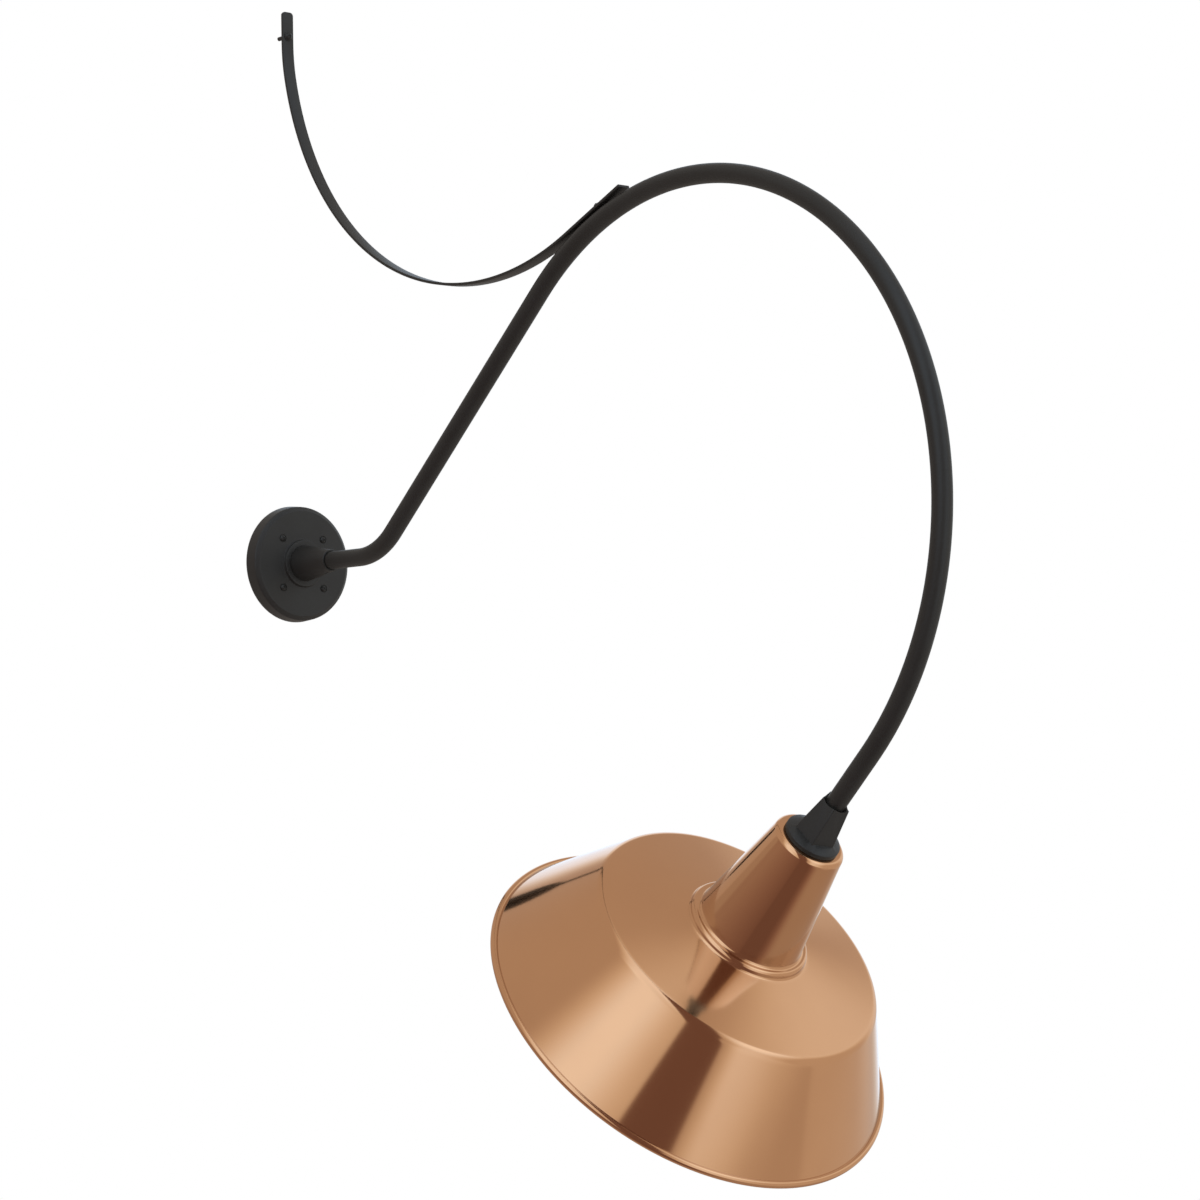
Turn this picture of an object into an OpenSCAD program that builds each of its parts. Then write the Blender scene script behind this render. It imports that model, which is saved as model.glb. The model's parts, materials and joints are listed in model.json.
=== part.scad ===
// Gooseneck barn light: a round wall plate, a bent pipe with a flat strap back to the wall,
// and a spun copper shade with its lamp holder and bulb.
// The origin is the centre of the wall plate's back. X runs out of the wall, Z runs up, and
// the pipe bends in the plane Y = 0. All lengths are in millimetres and all turns in degrees.

/* [Gooseneck pipe] */
// Outer diameter of the pipe
pipe_od = 21.3; // [19:0.1:23]
// Wall thickness of the pipe
pipe_wall = 2.75; // [2:0.05:3.2]
// Level run from the wall to the first bend
run_l = 133; // [110:1:180]
// Centre-line radius of the first bend
bend_r = 98; // [60:1:140]
// Turn of the first bend
bend_deg = 42; // [36:0.5:48]
// Straight rise between the two bends
rise_l = 370; // [300:1:420]
// Centre-line radius of the crown
crown_r = 360; // [320:1:400]
// Turn of the crown
crown_deg = 177.5; // [170:0.5:185]
// Straight end of the pipe that shows above the shade hub
tail_l = 65; // [40:0.5:100]

/* [Wall plate] */
// Radius of the plate at the wall
plate_r = 70.5; // [66:0.5:80]
// Radius that the side's draft takes off
plate_draft = 1.5; // [0:0.1:3]
// Depth of the plate's side, up to its chamfer
plate_side_h = 16; // [13:0.5:18]
// Radius that the front chamfer takes off
plate_chamfer = 5; // [3:0.5:7]
// Depth of the plate from the wall to its front face
plate_h = 19.2; // [18.5:0.1:24]
// Thickness of the plate's front
plate_wall = 4.5; // [3.5:0.1:5]
// Width of the ring that bears on the wall
plate_rim_w = 10; // [9:0.5:12]
// Radius of the raised boss under the arm hub
boss_r = 29; // [26:0.5:32]
// Height of the raised boss
boss_h = 3.8; // [2:0.1:6]
// Width of the gasket
gasket_w = 5; // [3:0.5:6]
// Depth of the gasket's groove
gasket_h = 1.5; // [1:0.1:2.5]

/* [Plate screws] */
// Diameter of the circle on which the screws lie
screw_circle = 84; // [80:1:90]
// Number of screws
screw_count = 4; // [3:1:6]
// Radius of a screw's thread
screw_r = 2.08; // [1.7:0.01:2.4]
// Radius of a screw's plain neck in the plate
screw_neck_r = 1.7; // [1.3:0.01:1.7]
// Clearance around a screw's thread in the plate
screw_clear = 0.3; // [0.2:0.05:0.5]
// Radius of a screw's head
screw_head_r = 4; // [3.5:0.1:4.5]
// Height of a screw's head
screw_head_h = 2.6; // [2:0.1:3]
// Length of a screw behind the wall plane
screw_reach = 16; // [8:1:30]
// Radius of the post that carries a screw inside the plate
post_r = 6; // [4:0.5:7]

/* [Arm hub] */
// Radius of the hub's foot
hub_foot_r = 22; // [20:0.5:25]
// Radius of the hub's mouth, where the pipe enters
hub_mouth_r = 13; // [12.8:0.1:15]
// Length of the hub in front of the boss
hub_l = 54; // [45:1:70]
// Depth of the pipe in the hub
hub_grip = 20; // [15:1:30]
// Radius of the hub's spigot, which turns in the plate
spigot_r = 16; // [14:0.5:18]
// Running clearance of the spigot in the plate
spigot_clear = 0.05; // [0.02:0.01:0.08]
// Thickness of the spring washer behind the plate
hub_washer_t = 1.5; // [1:0.1:2]
// Radius of the spring washer
hub_washer_r = 23; // [21:0.5:25]
// Thickness of the hub's locknut
hub_nut_t = 6; // [4:0.5:7]
// Width of the hub's locknut across its flats
hub_nut_af = 42; // [40:0.5:46]
// Length of spigot that stands out of its locknut
spigot_end = 1.5; // [0.5:0.1:2]
// Radius of the arm hub's set screw
hub_set_r = 2.5; // [2:0.1:3]
// Distance of that set screw from the hub's mouth
hub_set_back = 10; // [6:0.5:14]
// How far that set screw lies under the hub's surface
hub_set_sunk = 0.6; // [0:0.1:1.5]

/* [Support strap] */
// Width of the strap
strap_w = 16; // [13:0.5:20]
// Thickness of the strap
strap_t = 3.2; // [2.5:0.1:4]
// Flat end of the strap above its upper bend
strap_top_l = 38; // [36:1:60]
// Corner radius of the strap's wall end
strap_corner_r = 4.5; // [1:0.5:6]
// Mid-line radius of the strap's upper bend
strap_upper_r = 217; // [180:1:260]
// Turn of the strap's upper bend
strap_upper_deg = 12; // [6:1:20]
// Mid-line radius of the strap's lower bend
strap_lower_r = 376; // [350:1:400]
// Angle above level at which the strap leaves its bend and lies along the pipe
strap_lie_deg = 24; // [20:0.5:28]
// Straight end of the strap past the place where it touches the pipe
strap_lap = 60; // [45:1:90]
// Clearance between the strap and the pipe
strap_gap = 0.3; // [0.2:0.05:0.6]
// Distance of the wall screw below the strap's top end
strap_screw_down = 30; // [15:1:30]

/* [Strap fasteners] */
// Distance of the pipe bolt past the place where the strap touches the pipe
bolt_past = 14; // [5:1:30]
// Radius of the pipe bolt's shank
bolt_r = 3; // [2.5:0.1:3.5]
// Running clearance of the strap on the pipe bolt
bolt_clear = 0.05; // [0.02:0.01:0.08]
// Radius of the bolt's slotted head
bolt_head_r = 4.7; // [4.2:0.1:5.5]
// Height of the bolt's head
bolt_head_h = 4.6; // [3:0.1:5.5]
// Radius of the washer under the bolt's head
bolt_washer_r = 6; // [5.8:0.1:7.5]
// Thickness of that washer
bolt_washer_t = 1.2; // [0.8:0.1:1.6]
// Length of bolt that stands inside the pipe's bore
bolt_inside = 3; // [1:0.5:5]
// Radius of the wall screw's thread
strap_screw_r = 2.5; // [2:0.1:3]
// Radius of the wall screw's plain neck in the strap
strap_screw_neck_r = 2; // [1.6:0.1:2]
// Radius of the wall screw's head
strap_screw_head_r = 4.9; // [4.4:0.1:5.5]
// Height of the wall screw's head
strap_screw_head_h = 3.4; // [2.5:0.1:4]
// Radius of the wall screw's washer
strap_washer_r = 5.6; // [5.2:0.1:7]
// Thickness of the wall screw's washer
strap_washer_t = 1.2; // [0.8:0.1:1.6]
// Length of the wall screw behind the wall plane
strap_screw_reach = 16; // [8:1:40]

/* [Shade hub] */
// Number of flats around the hub
shade_hub_sides = 5; // [4:1:8]
// Turn of the hub's first corner about the shade's axis
shade_hub_turn = 226.1; // [180:0.1:260]
// Corner radius of the hub's top
shade_hub_top_r = 15.8; // [15.2:0.1:18]
// Corner radius of the hub's foot
shade_hub_foot_r = 23.1; // [20:0.1:27]
// Height of the hub's taper
shade_hub_h = 43.5; // [38:0.5:50]
// Depth of the countersink around the pipe in the hub's top
shade_hub_sink = 4.2; // [3:0.1:4.4]
// Radius of the hub's flange
flange_r = 30.3; // [29:0.1:31]
// Fall of the flange's sloping top
flange_fall = 4; // [2:0.1:5]
// Thickness of the flange at its edge
flange_t = 4.9; // [3:0.1:6]
// Depth of the pipe in the shade hub
shade_grip = 31.5; // [25:0.5:36]
// Running clearance of the pipe in the shade hub
grip_clear = 0.05; // [0.02:0.01:0.08]
// Radius of the shade hub's threaded spigot
shade_spigot_r = 13; // [12:0.5:15]
// Length of spigot that stands out of the shade locknut
shade_spigot_end = 1.6; // [0.5:0.1:3]
// Radius of the shade hub's set screw
shade_set_r = 2; // [1.5:0.1:2.5]
// Distance of that set screw below the hub's top
shade_set_down = 20; // [12:0.5:24]

/* [Shade] */
// Thickness of the spun sheet
sheet_t = 1; // [0.8:0.1:1.4]
// Radius of the neck at its flat top
neck_top_r = 38.3; // [37:0.1:40]
// Roundness of the neck's top edge
neck_round = 6.3; // [4:0.1:6.5]
// Radius of the neck at its foot
neck_foot_r = 58.8; // [54:0.1:59]
// Height of the neck above the foot's groove
neck_h = 130.6; // [120:0.1:140]
// Radius of the circle along which the collar bead runs
collar_r = 63; // [62.8:0.1:68]
// Section radius of the collar bead
collar_bead_r = 4.2; // [3.8:0.1:4.6]
// Height of the collar bead above the foot's groove
collar_rise = 2.6; // [2.2:0.1:3.2]
// Radius of the shade's shoulder
shoulder_r = 161; // [150:0.5:170]
// Fall of the shade's top from the collar to the shoulder
top_fall = 17; // [10:0.1:25]
// Roundness of the shoulder
shoulder_round = 12; // [5:0.5:16]
// Outer radius of the shade's rolled rim
rim_r = 232; // [215:0.5:245]
// Height of the skirt from the shoulder to the lowest point of the rim
skirt_h = 114; // [95:0.5:130]
// Section radius of the rolled rim
rim_bead_r = 3.9; // [3:0.1:5]
// Radius of the wire inside the rolled rim
rim_wire_r = 2.5; // [1.5:0.1:3]

/* [Lamp holder] */
// Thickness of the gasket under the shade's top
shade_gasket_t = 2; // [1:0.1:3]
// Radius of that gasket
shade_gasket_r = 24; // [20:0.5:28]
// Width of the shade locknut across its flats
shade_nut_af = 34; // [32:0.5:38]
// Thickness of the shade locknut
shade_nut_t = 5; // [4:0.5:7]
// Outer radius of the holder's steel cup
cup_r = 27; // [25.6:0.1:30]
// Thickness of the cup's sheet
cup_t = 1.2; // [0.8:0.1:1.6]
// Height of the cup
cup_h = 30.8; // [28:0.1:34]
// Room for the wiring above the porcelain
wiring_h = 8; // [5:0.5:12]
// Radius of the porcelain below the cup
porcelain_r = 21.5; // [19:0.5:24]
// Length of the porcelain below the cup
porcelain_l = 34; // [30:0.5:40]
// Thickness of the porcelain's floor
porcelain_floor = 5; // [3:0.5:7]
// Inner radius of the threaded shell
shell_r = 13.3; // [13:0.05:14]
// Thickness of the threaded shell
shell_t = 0.7; // [0.4:0.05:1]
// Length of the threaded shell
shell_l = 28; // [24:0.5:30]
// Radius of a cup screw's shank
cup_screw_r = 1.5; // [1:0.1:2]
// Radius of a terminal screw's head
terminal_head_r = 3; // [2.5:0.1:3.4]

/* [Bulb] */
// Running clearance of the bulb's base in the shell
bulb_clear = 0.3; // [0.2:0.05:0.5]
// Length of the bulb from its tip to its crown
bulb_l = 135; // [120:1:150]
// Radius of the bulb's globe
globe_r = 33.5; // [28:0.5:38]
// Slope of the bulb's cone against its axis
bulb_cone_deg = 25; // [20:1:32]
// Thickness of the bulb's glass
glass_t = 1; // [0.6:0.1:1.5]
// Length of the bulb's metal base
bulb_base_l = 21.7; // [20:0.1:23]

/* [Wiring] */
// Radius of a lead over its insulation
lead_r = 1.6; // [1.2:0.1:1.8]
// Clearance between a lead and the bore that carries it
lead_clear = 0.2; // [0.1:0.05:0.5]
// Radius of the ground screw's head
ground_head_r = 4.5; // [4:0.1:5]

/* [Hidden] */
$fn = 96;

BLACK = [0.15, 0.15, 0.15];
COPPER = [0.73, 0.54, 0.39];
STEEL = [0.6, 0.6, 0.62];
BRASS = [0.78, 0.64, 0.33];
PORCELAIN = [0.92, 0.91, 0.87];
RUBBER = [0.1, 0.1, 0.1];
GLASS = [0.95, 0.95, 0.93];
GREEN = [0.1, 0.45, 0.2];

// Clearance of a fastener or nut that stays put in its hole
fixed_clear = 0.02;
// Height that every cutting shape stands past what it cuts
over = 1;
// Each bend stops this far short of the straights beside it
seam_gap = 0.1;
// The ring that joins a bend to a straight is this long and this much proud of the outside,
// and it stops this far short of the bore
seam_l = 1.2;
seam_proud = 0.1;
seam_back = 1;
// Gap between pieces that lie loosely beside each other
loose_clear = 0.1;
// Depth of a set screw's hexagon socket
set_socket = 1.5;
// How far the shade hub's set screw stands out of the flat's top
shade_set_stand = 1.6;
// Rounding of the wall plate's side, of its face's edge and of the arm hub's foot
side_round = 2.5;
face_round = 1.5;
foot_round = 1;
// How far the screws' posts stop short of the wall
post_gap = 1.5;
// How far a plate screw's thread reaches into the plate, and where the strap's wall screw
// starts its thread behind the wall plane
screw_thread_in = 0.5;
strap_thread_out = 1;
// Radius that the boss loses towards its face
boss_draft = 1;
// Rounding of the boss and of the hub's mouth
boss_round = 0.8;
mouth_round = 0.8;
// Radius at which the slope of the shade hub's flange starts, and rounding of its edge
flange_slope_r = 21;
flange_round = 1;
// Rounding of the groove inside the collar bead and of the one outside it
groove_round = 0.5;
collar_foot_round = 3;
// Angles at which the collar bead and the rolled rim start and end
bead_from = 222;
bead_to = 345;
rim_from = -123;
rim_to = 190;
// Rounding of the porcelain's edges
porcelain_round = 1.5;

// Slot of the strap bolt's head: its turn from the strap's run, its width and its depth
slot_turn = -41;
slot_w = 1.3;
slot_deep = 1.8;

// Ground screw, whose lead lies under its head
ground_r = 2;
ground_deep = 3;
ground_head_h = 3;
ground_gap = 0.6;

// Cup screws: their height above the cup's mouth, depth in the porcelain and head
cup_screw_up = 7;
cup_screw_deep = 6;
cup_screw_head_h = 1.6;

// Depth of a terminal screw, height of its head and thickness of the centre contact
terminal_deep = 6;
terminal_head_h = 2;
contact_t = 1;
contact_r = 4.5;

// Bulb's contact tip, insulator, base sheet, stem and filament
tip_h = 1.6;
tip_r = 4.7;
insulator_h = 3.7;
base_wall = 0.5;
base_edge = 1.5;
base_floor = 2;
glass_in_base = 8;
stem_r = 5;
filament_r = 0.8;
filament_lead_r = 0.5;
filament_spread = 9;

// Points and directions in the plane of the pipe are pairs of X and Z
function unit(v) = v / norm(v);
function ahead(deg) = [cos(deg), sin(deg)];
function leftward(deg) = [-sin(deg), cos(deg)];

// Course of the pipe's centre line
bend_c = [run_l, bend_r];
bend_end = bend_c - bend_r * leftward(bend_deg);
rise_end = bend_end + rise_l * ahead(bend_deg);
crown_c = rise_end - crown_r * leftward(bend_deg);
tail_deg = bend_deg - crown_deg;
crown_end = crown_c + crown_r * leftward(tail_deg);
pipe_r = pipe_od / 2;
bore_r = pipe_r - pipe_wall;

// Distances out of the wall
plate_cavity = plate_h - plate_wall;
boss_top = plate_h + boss_h;
hub_mouth = boss_top + hub_l;
pipe_start = hub_mouth - hub_grip;
hub_nut_front = plate_cavity - hub_washer_t;
hub_nut_back = hub_nut_front - hub_nut_t;
spigot_back = hub_nut_back - spigot_end;

// Course of the strap's mid-line, from the top of its upper bend. The strap lies along the
// pipe's crown, so its height on the wall follows from where it has to touch the pipe.
strap_upper_c = [strap_t / 2 + strap_upper_r, 0];
strap_mid = strap_upper_c - strap_upper_r * ahead(strap_upper_deg);
strap_lower_c = strap_mid + strap_lower_r * ahead(strap_upper_deg);
strap_bend_end = strap_lower_c - strap_lower_r * leftward(strap_lie_deg);
touch_r = crown_r + pipe_r + strap_gap + strap_t / 2;
strap_shift = (touch_r - leftward(strap_lie_deg) * (strap_bend_end - crown_c)) / cos(strap_lie_deg);
strap_lift = [0, strap_shift];
touch = crown_c + touch_r * leftward(strap_lie_deg);
strap_flat_l = (touch - strap_bend_end - strap_lift) * ahead(strap_lie_deg) + strap_lap;
strap_top = strap_shift + strap_top_l;
strap_screw_z = strap_top - strap_screw_down;
bolt_at = touch + bolt_past * ahead(strap_lie_deg);
// The pipe's surface falls away from the strap past the touching place
bolt_drop = strap_t + strap_gap + touch_r - sqrt(pow(touch_r, 2) - pow(bolt_past, 2));

// Distances along the shade's axis, from the end of the crown
hub_top_s = tail_l;
shade_s = hub_top_s + shade_hub_h + flange_fall + flange_t;
pipe_end_s = hub_top_s + shade_grip;
grip_end_s = pipe_end_s + 0.5;

// Distances along the shade's axis, from the shade's flat seat
gasket_z = sheet_t;
cup_z = gasket_z + shade_gasket_t;
shade_nut_z = cup_z + cup_t;
shade_spigot_l = shade_nut_z + shade_nut_t + shade_spigot_end;
porcelain_z = shade_spigot_l + wiring_h;
cup_end = cup_z + cup_h;
porcelain_end = cup_end + porcelain_l;
shell_room_r = shell_r + shell_t + fixed_clear;
floor_z = porcelain_end - shell_l - 2;
tip_z = floor_z + contact_t + 0.2;
channel_r = bore_r - 0.9;
lead_off = bore_r - lead_r - lead_clear;
socket_lead_off = channel_r - lead_r - lead_clear;
terminal_off = socket_lead_off + lead_r + terminal_head_r + loose_clear;

// Bulb, along the same axis
base_r = shell_r - bulb_clear;
neck_r = base_r - base_wall - loose_clear;
base_z = tip_z + tip_h + insulator_h;
base_end = base_z + bulb_base_l;
globe_z = tip_z + bulb_l - globe_r;
stem_end = globe_z - 1.5 * globe_r;

// Collar and skirt of the shade
collar_z = neck_h - collar_rise + collar_bead_r;
collar_foot = [collar_r + collar_bead_r + 0.6, collar_z + 2.4];
shoulder_z = collar_foot[1] + top_fall;
rim_c = [rim_r - rim_bead_r, shoulder_z + skirt_h - rim_bead_r];

// Points of an arc about c, from angle a to angle b
function arc(c, r, a, b, steps) = [for (i = [0:steps]) c + r * ahead(a + (b - a) * i / steps)];

// Points that round the corner b between a and c
function rounded(a, b, c, r, steps = 6) =
    let (u = unit(a - b))
    let (v = unit(c - b))
    let (half = acos(u * v) / 2)
    let (m = b + unit(u + v) * r / sin(half))
    let (p = b + u * r / tan(half) - m)
    let (q = b + v * r / tan(half) - m)
    let (from = atan2(p[1], p[0]))
    let (turn = (atan2(q[1], q[0]) - from + 540) % 360 - 180)
    arc(m, r, from, from + turn, steps);

// Direction of an outline as it leaves its point i
function way(pts, i) = unit(pts[min(i, len(pts) - 2) + 1] - pts[min(i, len(pts) - 2)]);
// Step from point i to the left by t, square to the outline
function inward(pts, i, t) =
    let (a = way(pts, max(i - 1, 0)))
    let (b = way(pts, i))
    let (m = unit([-a[1] - b[1], a[0] + b[0]]))
    m * t / (m * [-a[1], a[0]]);
// Closed outline of a sheet of thickness t that lies to the left of an open outline
function sheet(pts, t) = concat(pts, [for (i = [len(pts) - 1:-1:0]) pts[i] + inward(pts, i, t)]);

// Turns Z to point along a heading in the pipe's plane
module along(p, deg) {
    translate([p[0], 0, p[1]]) rotate([0, 90 - deg, 0]) children();
}

// Stands children on the wall plane at a distance, with Z out of the wall
module off_wall(x) {
    along([x, 0], 0) children();
}

// Places children on the shade's axis, a distance past the crown's end
module on_axis(s) {
    along(crown_end + s * ahead(tail_deg), tail_deg) children();
}

// Sweeps a section along an arc in the pipe's plane
module swept(c, r, from, deg) {
    translate([c[0], 0, c[1]])
        rotate([90, 0, 0])
            rotate([0, 0, from])
                rotate_extrude(angle = deg)
                    translate([r, 0])
                        mirror([0, 1])
                            children();
}

// Sweeps a section along a bend that stops short of both its ends
module bend(c, r, from, deg) {
    short = seam_gap / r * 180 / PI;
    swept(c, r, from + short, deg - 2 * short) children();
}

// Joins two lengths at a point with a section that is slightly larger than theirs
module seam(p, deg) {
    along(p, deg) translate([0, 0, -seam_l / 2]) linear_extrude(seam_l) children();
}

// Sweeps a section along the pipe's course, from a distance out of the wall to one past the
// crown. The first child is the section, and the second is the section of its seams.
module along_pipe(start, tail) {
    off_wall(start) linear_extrude(run_l - start) children(0);
    seam([run_l, 0], 0) children(1);
    bend(bend_c, bend_r, -90, bend_deg) children(0);
    seam(bend_end, bend_deg) children(1);
    along(bend_end, bend_deg) linear_extrude(rise_l) children(0);
    seam(rise_end, bend_deg) children(1);
    bend(crown_c, crown_r, tail_deg + 90, crown_deg) children(0);
    seam(crown_end, tail_deg) children(1);
    on_axis(0) linear_extrude(tail) children(0);
}

module ring(r_out, r_in) {
    difference() {
        circle(r = r_out);
        circle(r = r_in);
    }
}

module tube(h, r_out, r_in) {
    linear_extrude(h) ring(r_out, r_in);
}

// Domed screw head, standing on Z = 0
module dome(r, h) {
    dome_r = (r * r + h * h) / (2 * h);
    intersection() {
        translate([0, 0, h - dome_r]) sphere(r = dome_r);
        cylinder(r = r, h = h);
    }
}

// Domed head with a cross recess
module pan_head(r, h) {
    difference() {
        dome(r, h);
        for (a = [0, 90])
            rotate([0, 0, a])
                translate([-r * 0.55, -r * 0.11, h * 0.55])
                    cube([r * 1.1, r * 0.22, h]);
    }
}

// Domed head with a slot
module slotted_head(r, h) {
    difference() {
        dome(r, h);
        rotate([0, 0, slot_turn])
            translate([-r - over, -slot_w / 2, h - slot_deep])
                cube([2 * (r + over), slot_w, slot_deep + over]);
    }
}

// Hexagon prism of a width across its flats
module hexagon(af, h) {
    cylinder(r = af / 2 / cos(30), h = h, $fn = 6);
}

module on_screw_circle() {
    for (i = [0:screw_count - 1])
        rotate([0, 0, 45 + i * 360 / screw_count])
            translate([screw_circle / 2, 0, 0])
                children();
}

// Wall plate and what stays on it

module wall_plate() {
    edge = [plate_r - plate_draft, plate_side_h];
    face = [edge[0] - plate_chamfer, plate_h];
    gasket_in = plate_r - plate_rim_w / 2 - gasket_w / 2;
    outline = concat(
        [[plate_r - plate_rim_w, 0], [gasket_in, 0], [gasket_in, gasket_h]],
        [[gasket_in + gasket_w, gasket_h], [gasket_in + gasket_w, 0], [plate_r, 0]],
        rounded([plate_r, 0], edge, face, side_round),
        rounded(edge, face, [boss_r, plate_h], face_round),
        [[boss_r, plate_h]],
        rounded([boss_r, plate_h], [boss_r - boss_draft, boss_top], [0, boss_top], boss_round),
        [[spigot_r + spigot_clear, boss_top], [spigot_r + spigot_clear, plate_cavity]],
        [[plate_r - plate_rim_w - 1, plate_cavity]]);
    color(BLACK)
        off_wall(0)
            difference() {
                union() {
                    rotate_extrude() polygon(outline);
                    on_screw_circle()
                        translate([0, 0, post_gap])
                            cylinder(r = post_r, h = plate_cavity + over - post_gap);
                }
                on_screw_circle()
                    translate([0, 0, -over])
                        cylinder(r = screw_r + screw_clear, h = plate_h + 2 * over);
                translate([ground_place(), 0, plate_cavity - over])
                    cylinder(r = ground_r + fixed_clear, h = ground_deep + over);
            }
}

module wall_gasket() {
    gasket_in = plate_r - plate_rim_w / 2 - gasket_w / 2;
    color(RUBBER)
        off_wall(0)
            tube(gasket_h, gasket_in + gasket_w, gasket_in);
}

module plate_screws() {
    color(BLACK)
        off_wall(0)
            on_screw_circle() {
                translate([0, 0, plate_h]) pan_head(screw_head_r, screw_head_h);
                cylinder(r = screw_neck_r, h = plate_h);
                translate([0, 0, -screw_reach])
                    cylinder(r = screw_r, h = screw_reach + screw_thread_in);
            }
}

// The ground screw sits below the locknut, and its lead curls round the nut under its head
function ground_place() = hub_nut_af / 2 / cos(30) + ground_gap + ground_head_r + lead_r;

module ground_screw() {
    color(GREEN)
        off_wall(plate_cavity) {
            translate([ground_place(), 0, -ground_head_h])
                cylinder(r = ground_head_r, h = ground_head_h);
            translate([ground_place(), 0, -over])
                cylinder(r = ground_r, h = ground_deep + over);
        }
}

module ground_lead() {
    color(GREEN)
        off_wall(plate_cavity - ground_head_h - lead_r - loose_clear)
            rotate([0, 0, -20])
                rotate_extrude(angle = 200)
                    translate([ground_place() - lead_r, 0])
                        circle(r = lead_r);
}

// Arm: the hub that turns in the plate, the pipe and the leads inside it

module arm_hub() {
    seat = pipe_r + fixed_clear;
    outline = concat(
        [[bore_r, spigot_back], [spigot_r, spigot_back], [spigot_r, boss_top]],
        rounded([spigot_r, boss_top], [hub_foot_r, boss_top], [hub_mouth_r, hub_mouth], foot_round),
        rounded([hub_foot_r, boss_top], [hub_mouth_r, hub_mouth], [0, hub_mouth], mouth_round),
        [[seat, hub_mouth], [seat, pipe_start], [bore_r, pipe_start]]);
    color(BLACK)
        difference() {
            off_wall(0) rotate_extrude() polygon(outline);
            along([hub_mouth - hub_set_back, 0], -90)
                cylinder(r = hub_set_r + fixed_clear, h = hub_foot_r);
        }
}

module hub_washer() {
    color(STEEL)
        off_wall(hub_nut_front)
            tube(hub_washer_t, hub_washer_r, spigot_r + fixed_clear);
}

module hub_locknut() {
    color(STEEL)
        off_wall(hub_nut_back)
            difference() {
                hexagon(hub_nut_af, hub_nut_t);
                translate([0, 0, -over]) cylinder(r = spigot_r + fixed_clear, h = hub_nut_t + 2 * over);
            }
}

module hub_set_screw() {
    slope = (hub_foot_r - hub_mouth_r) / hub_l;
    surface_r = hub_mouth_r + slope * (hub_set_back - hub_set_r);
    start_r = pipe_r + fixed_clear;
    color(STEEL)
        along([hub_mouth - hub_set_back, 0], -90)
            difference() {
                translate([0, 0, start_r]) cylinder(r = hub_set_r, h = surface_r - hub_set_sunk - start_r);
                translate([0, 0, surface_r - hub_set_sunk - set_socket])
                    hexagon(hub_set_r, set_socket + over);
            }
}

module gooseneck_pipe() {
    color(BLACK)
        difference() {
            along_pipe(pipe_start, pipe_end_s) {
                ring(pipe_r, bore_r);
                ring(pipe_r + seam_proud, bore_r + seam_back);
            }
            along(bolt_at, strap_lie_deg + 90)
                translate([0, 0, -touch_drop()])
                    cylinder(r = bolt_r + fixed_clear, h = touch_drop());
        }
}

// Depth of the bolt's tip below the strap's mid-line
function touch_drop() = bolt_drop - strap_t / 2 + pipe_wall + bolt_inside;

module strap_bolt() {
    seat = strap_t / 2 + bolt_clear + bolt_washer_t;
    color(BLACK)
        along(bolt_at, strap_lie_deg + 90) {
            translate([0, 0, seat]) slotted_head(bolt_head_r, bolt_head_h);
            translate([0, 0, -touch_drop()]) cylinder(r = bolt_r, h = touch_drop() + seat + over);
        }
}

module strap_bolt_washer() {
    color(STEEL)
        along(bolt_at, strap_lie_deg + 90)
            translate([0, 0, strap_t / 2 + bolt_clear])
                tube(bolt_washer_t, bolt_washer_r, bolt_r + fixed_clear);
}

module lead(side) {
    along_pipe(1, pipe_end_s - 0.5) {
        translate([0, side * lead_off]) circle(r = lead_r);
        translate([0, side * lead_off]) circle(r = lead_r + seam_proud);
    }
}

module live_lead() {
    color(RUBBER) lead(-1);
}

module neutral_lead() {
    color(PORCELAIN) lead(1);
}

// Strap

// Outline of the strap's back and underside, from its top end to its end on the pipe
function strap_outline() =
    let (back = strap_t / 2)
    let (upper_c = strap_upper_c + strap_lift)
    let (lower_c = strap_lower_c + strap_lift)
    let (mid = 180 + strap_upper_deg)
    let (upper = arc(upper_c, strap_upper_r + back, 180, mid, 4))
    let (lower = arc(lower_c, strap_lower_r + back, mid, 270 + strap_lie_deg, 36))
    concat([[0, strap_top]], upper, [for (i = [1:36]) lower[i]],
        [lower[36] + strap_flat_l * ahead(strap_lie_deg)]);

module support_strap() {
    color(BLACK)
        difference() {
            rotate([90, 0, 0])
                linear_extrude(strap_w, center = true)
                    polygon(sheet(strap_outline(), strap_t));
            for (side = [0, 1])
                mirror([0, side, 0])
                    corner_cut();
            translate([-over, 0, strap_screw_z])
                rotate([0, 90, 0])
                    cylinder(r = strap_screw_r + fixed_clear, h = strap_t + 2 * over);
            along(bolt_at, strap_lie_deg + 90)
                cylinder(r = bolt_r + bolt_clear, h = strap_t + 2 * over, center = true);
        }
}

// What rounds one corner of the strap's wall end
module corner_cut() {
    translate([-over, strap_w / 2 - strap_corner_r, strap_top - strap_corner_r])
        rotate([90, 0, 90])
            linear_extrude(strap_t + 2 * over)
                difference() {
                    square(strap_corner_r + over);
                    circle(r = strap_corner_r);
                }
}

module strap_wall_washer() {
    color(STEEL)
        translate([0, 0, strap_screw_z])
            rotate([0, 90, 0])
                translate([0, 0, strap_t])
                    tube(strap_washer_t, strap_washer_r, strap_screw_r + fixed_clear);
}

module strap_wall_screw() {
    under_head = strap_t + strap_washer_t;
    color(BLACK)
        translate([0, 0, strap_screw_z])
            rotate([0, 90, 0]) {
                translate([0, 0, under_head]) pan_head(strap_screw_head_r, strap_screw_head_h);
                translate([0, 0, -strap_screw_reach])
                    cylinder(r = strap_screw_neck_r, h = strap_screw_reach + under_head);
                translate([0, 0, -strap_screw_reach])
                    cylinder(r = strap_screw_r, h = strap_screw_reach - strap_thread_out);
            }
}

// Shade and its hub

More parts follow.
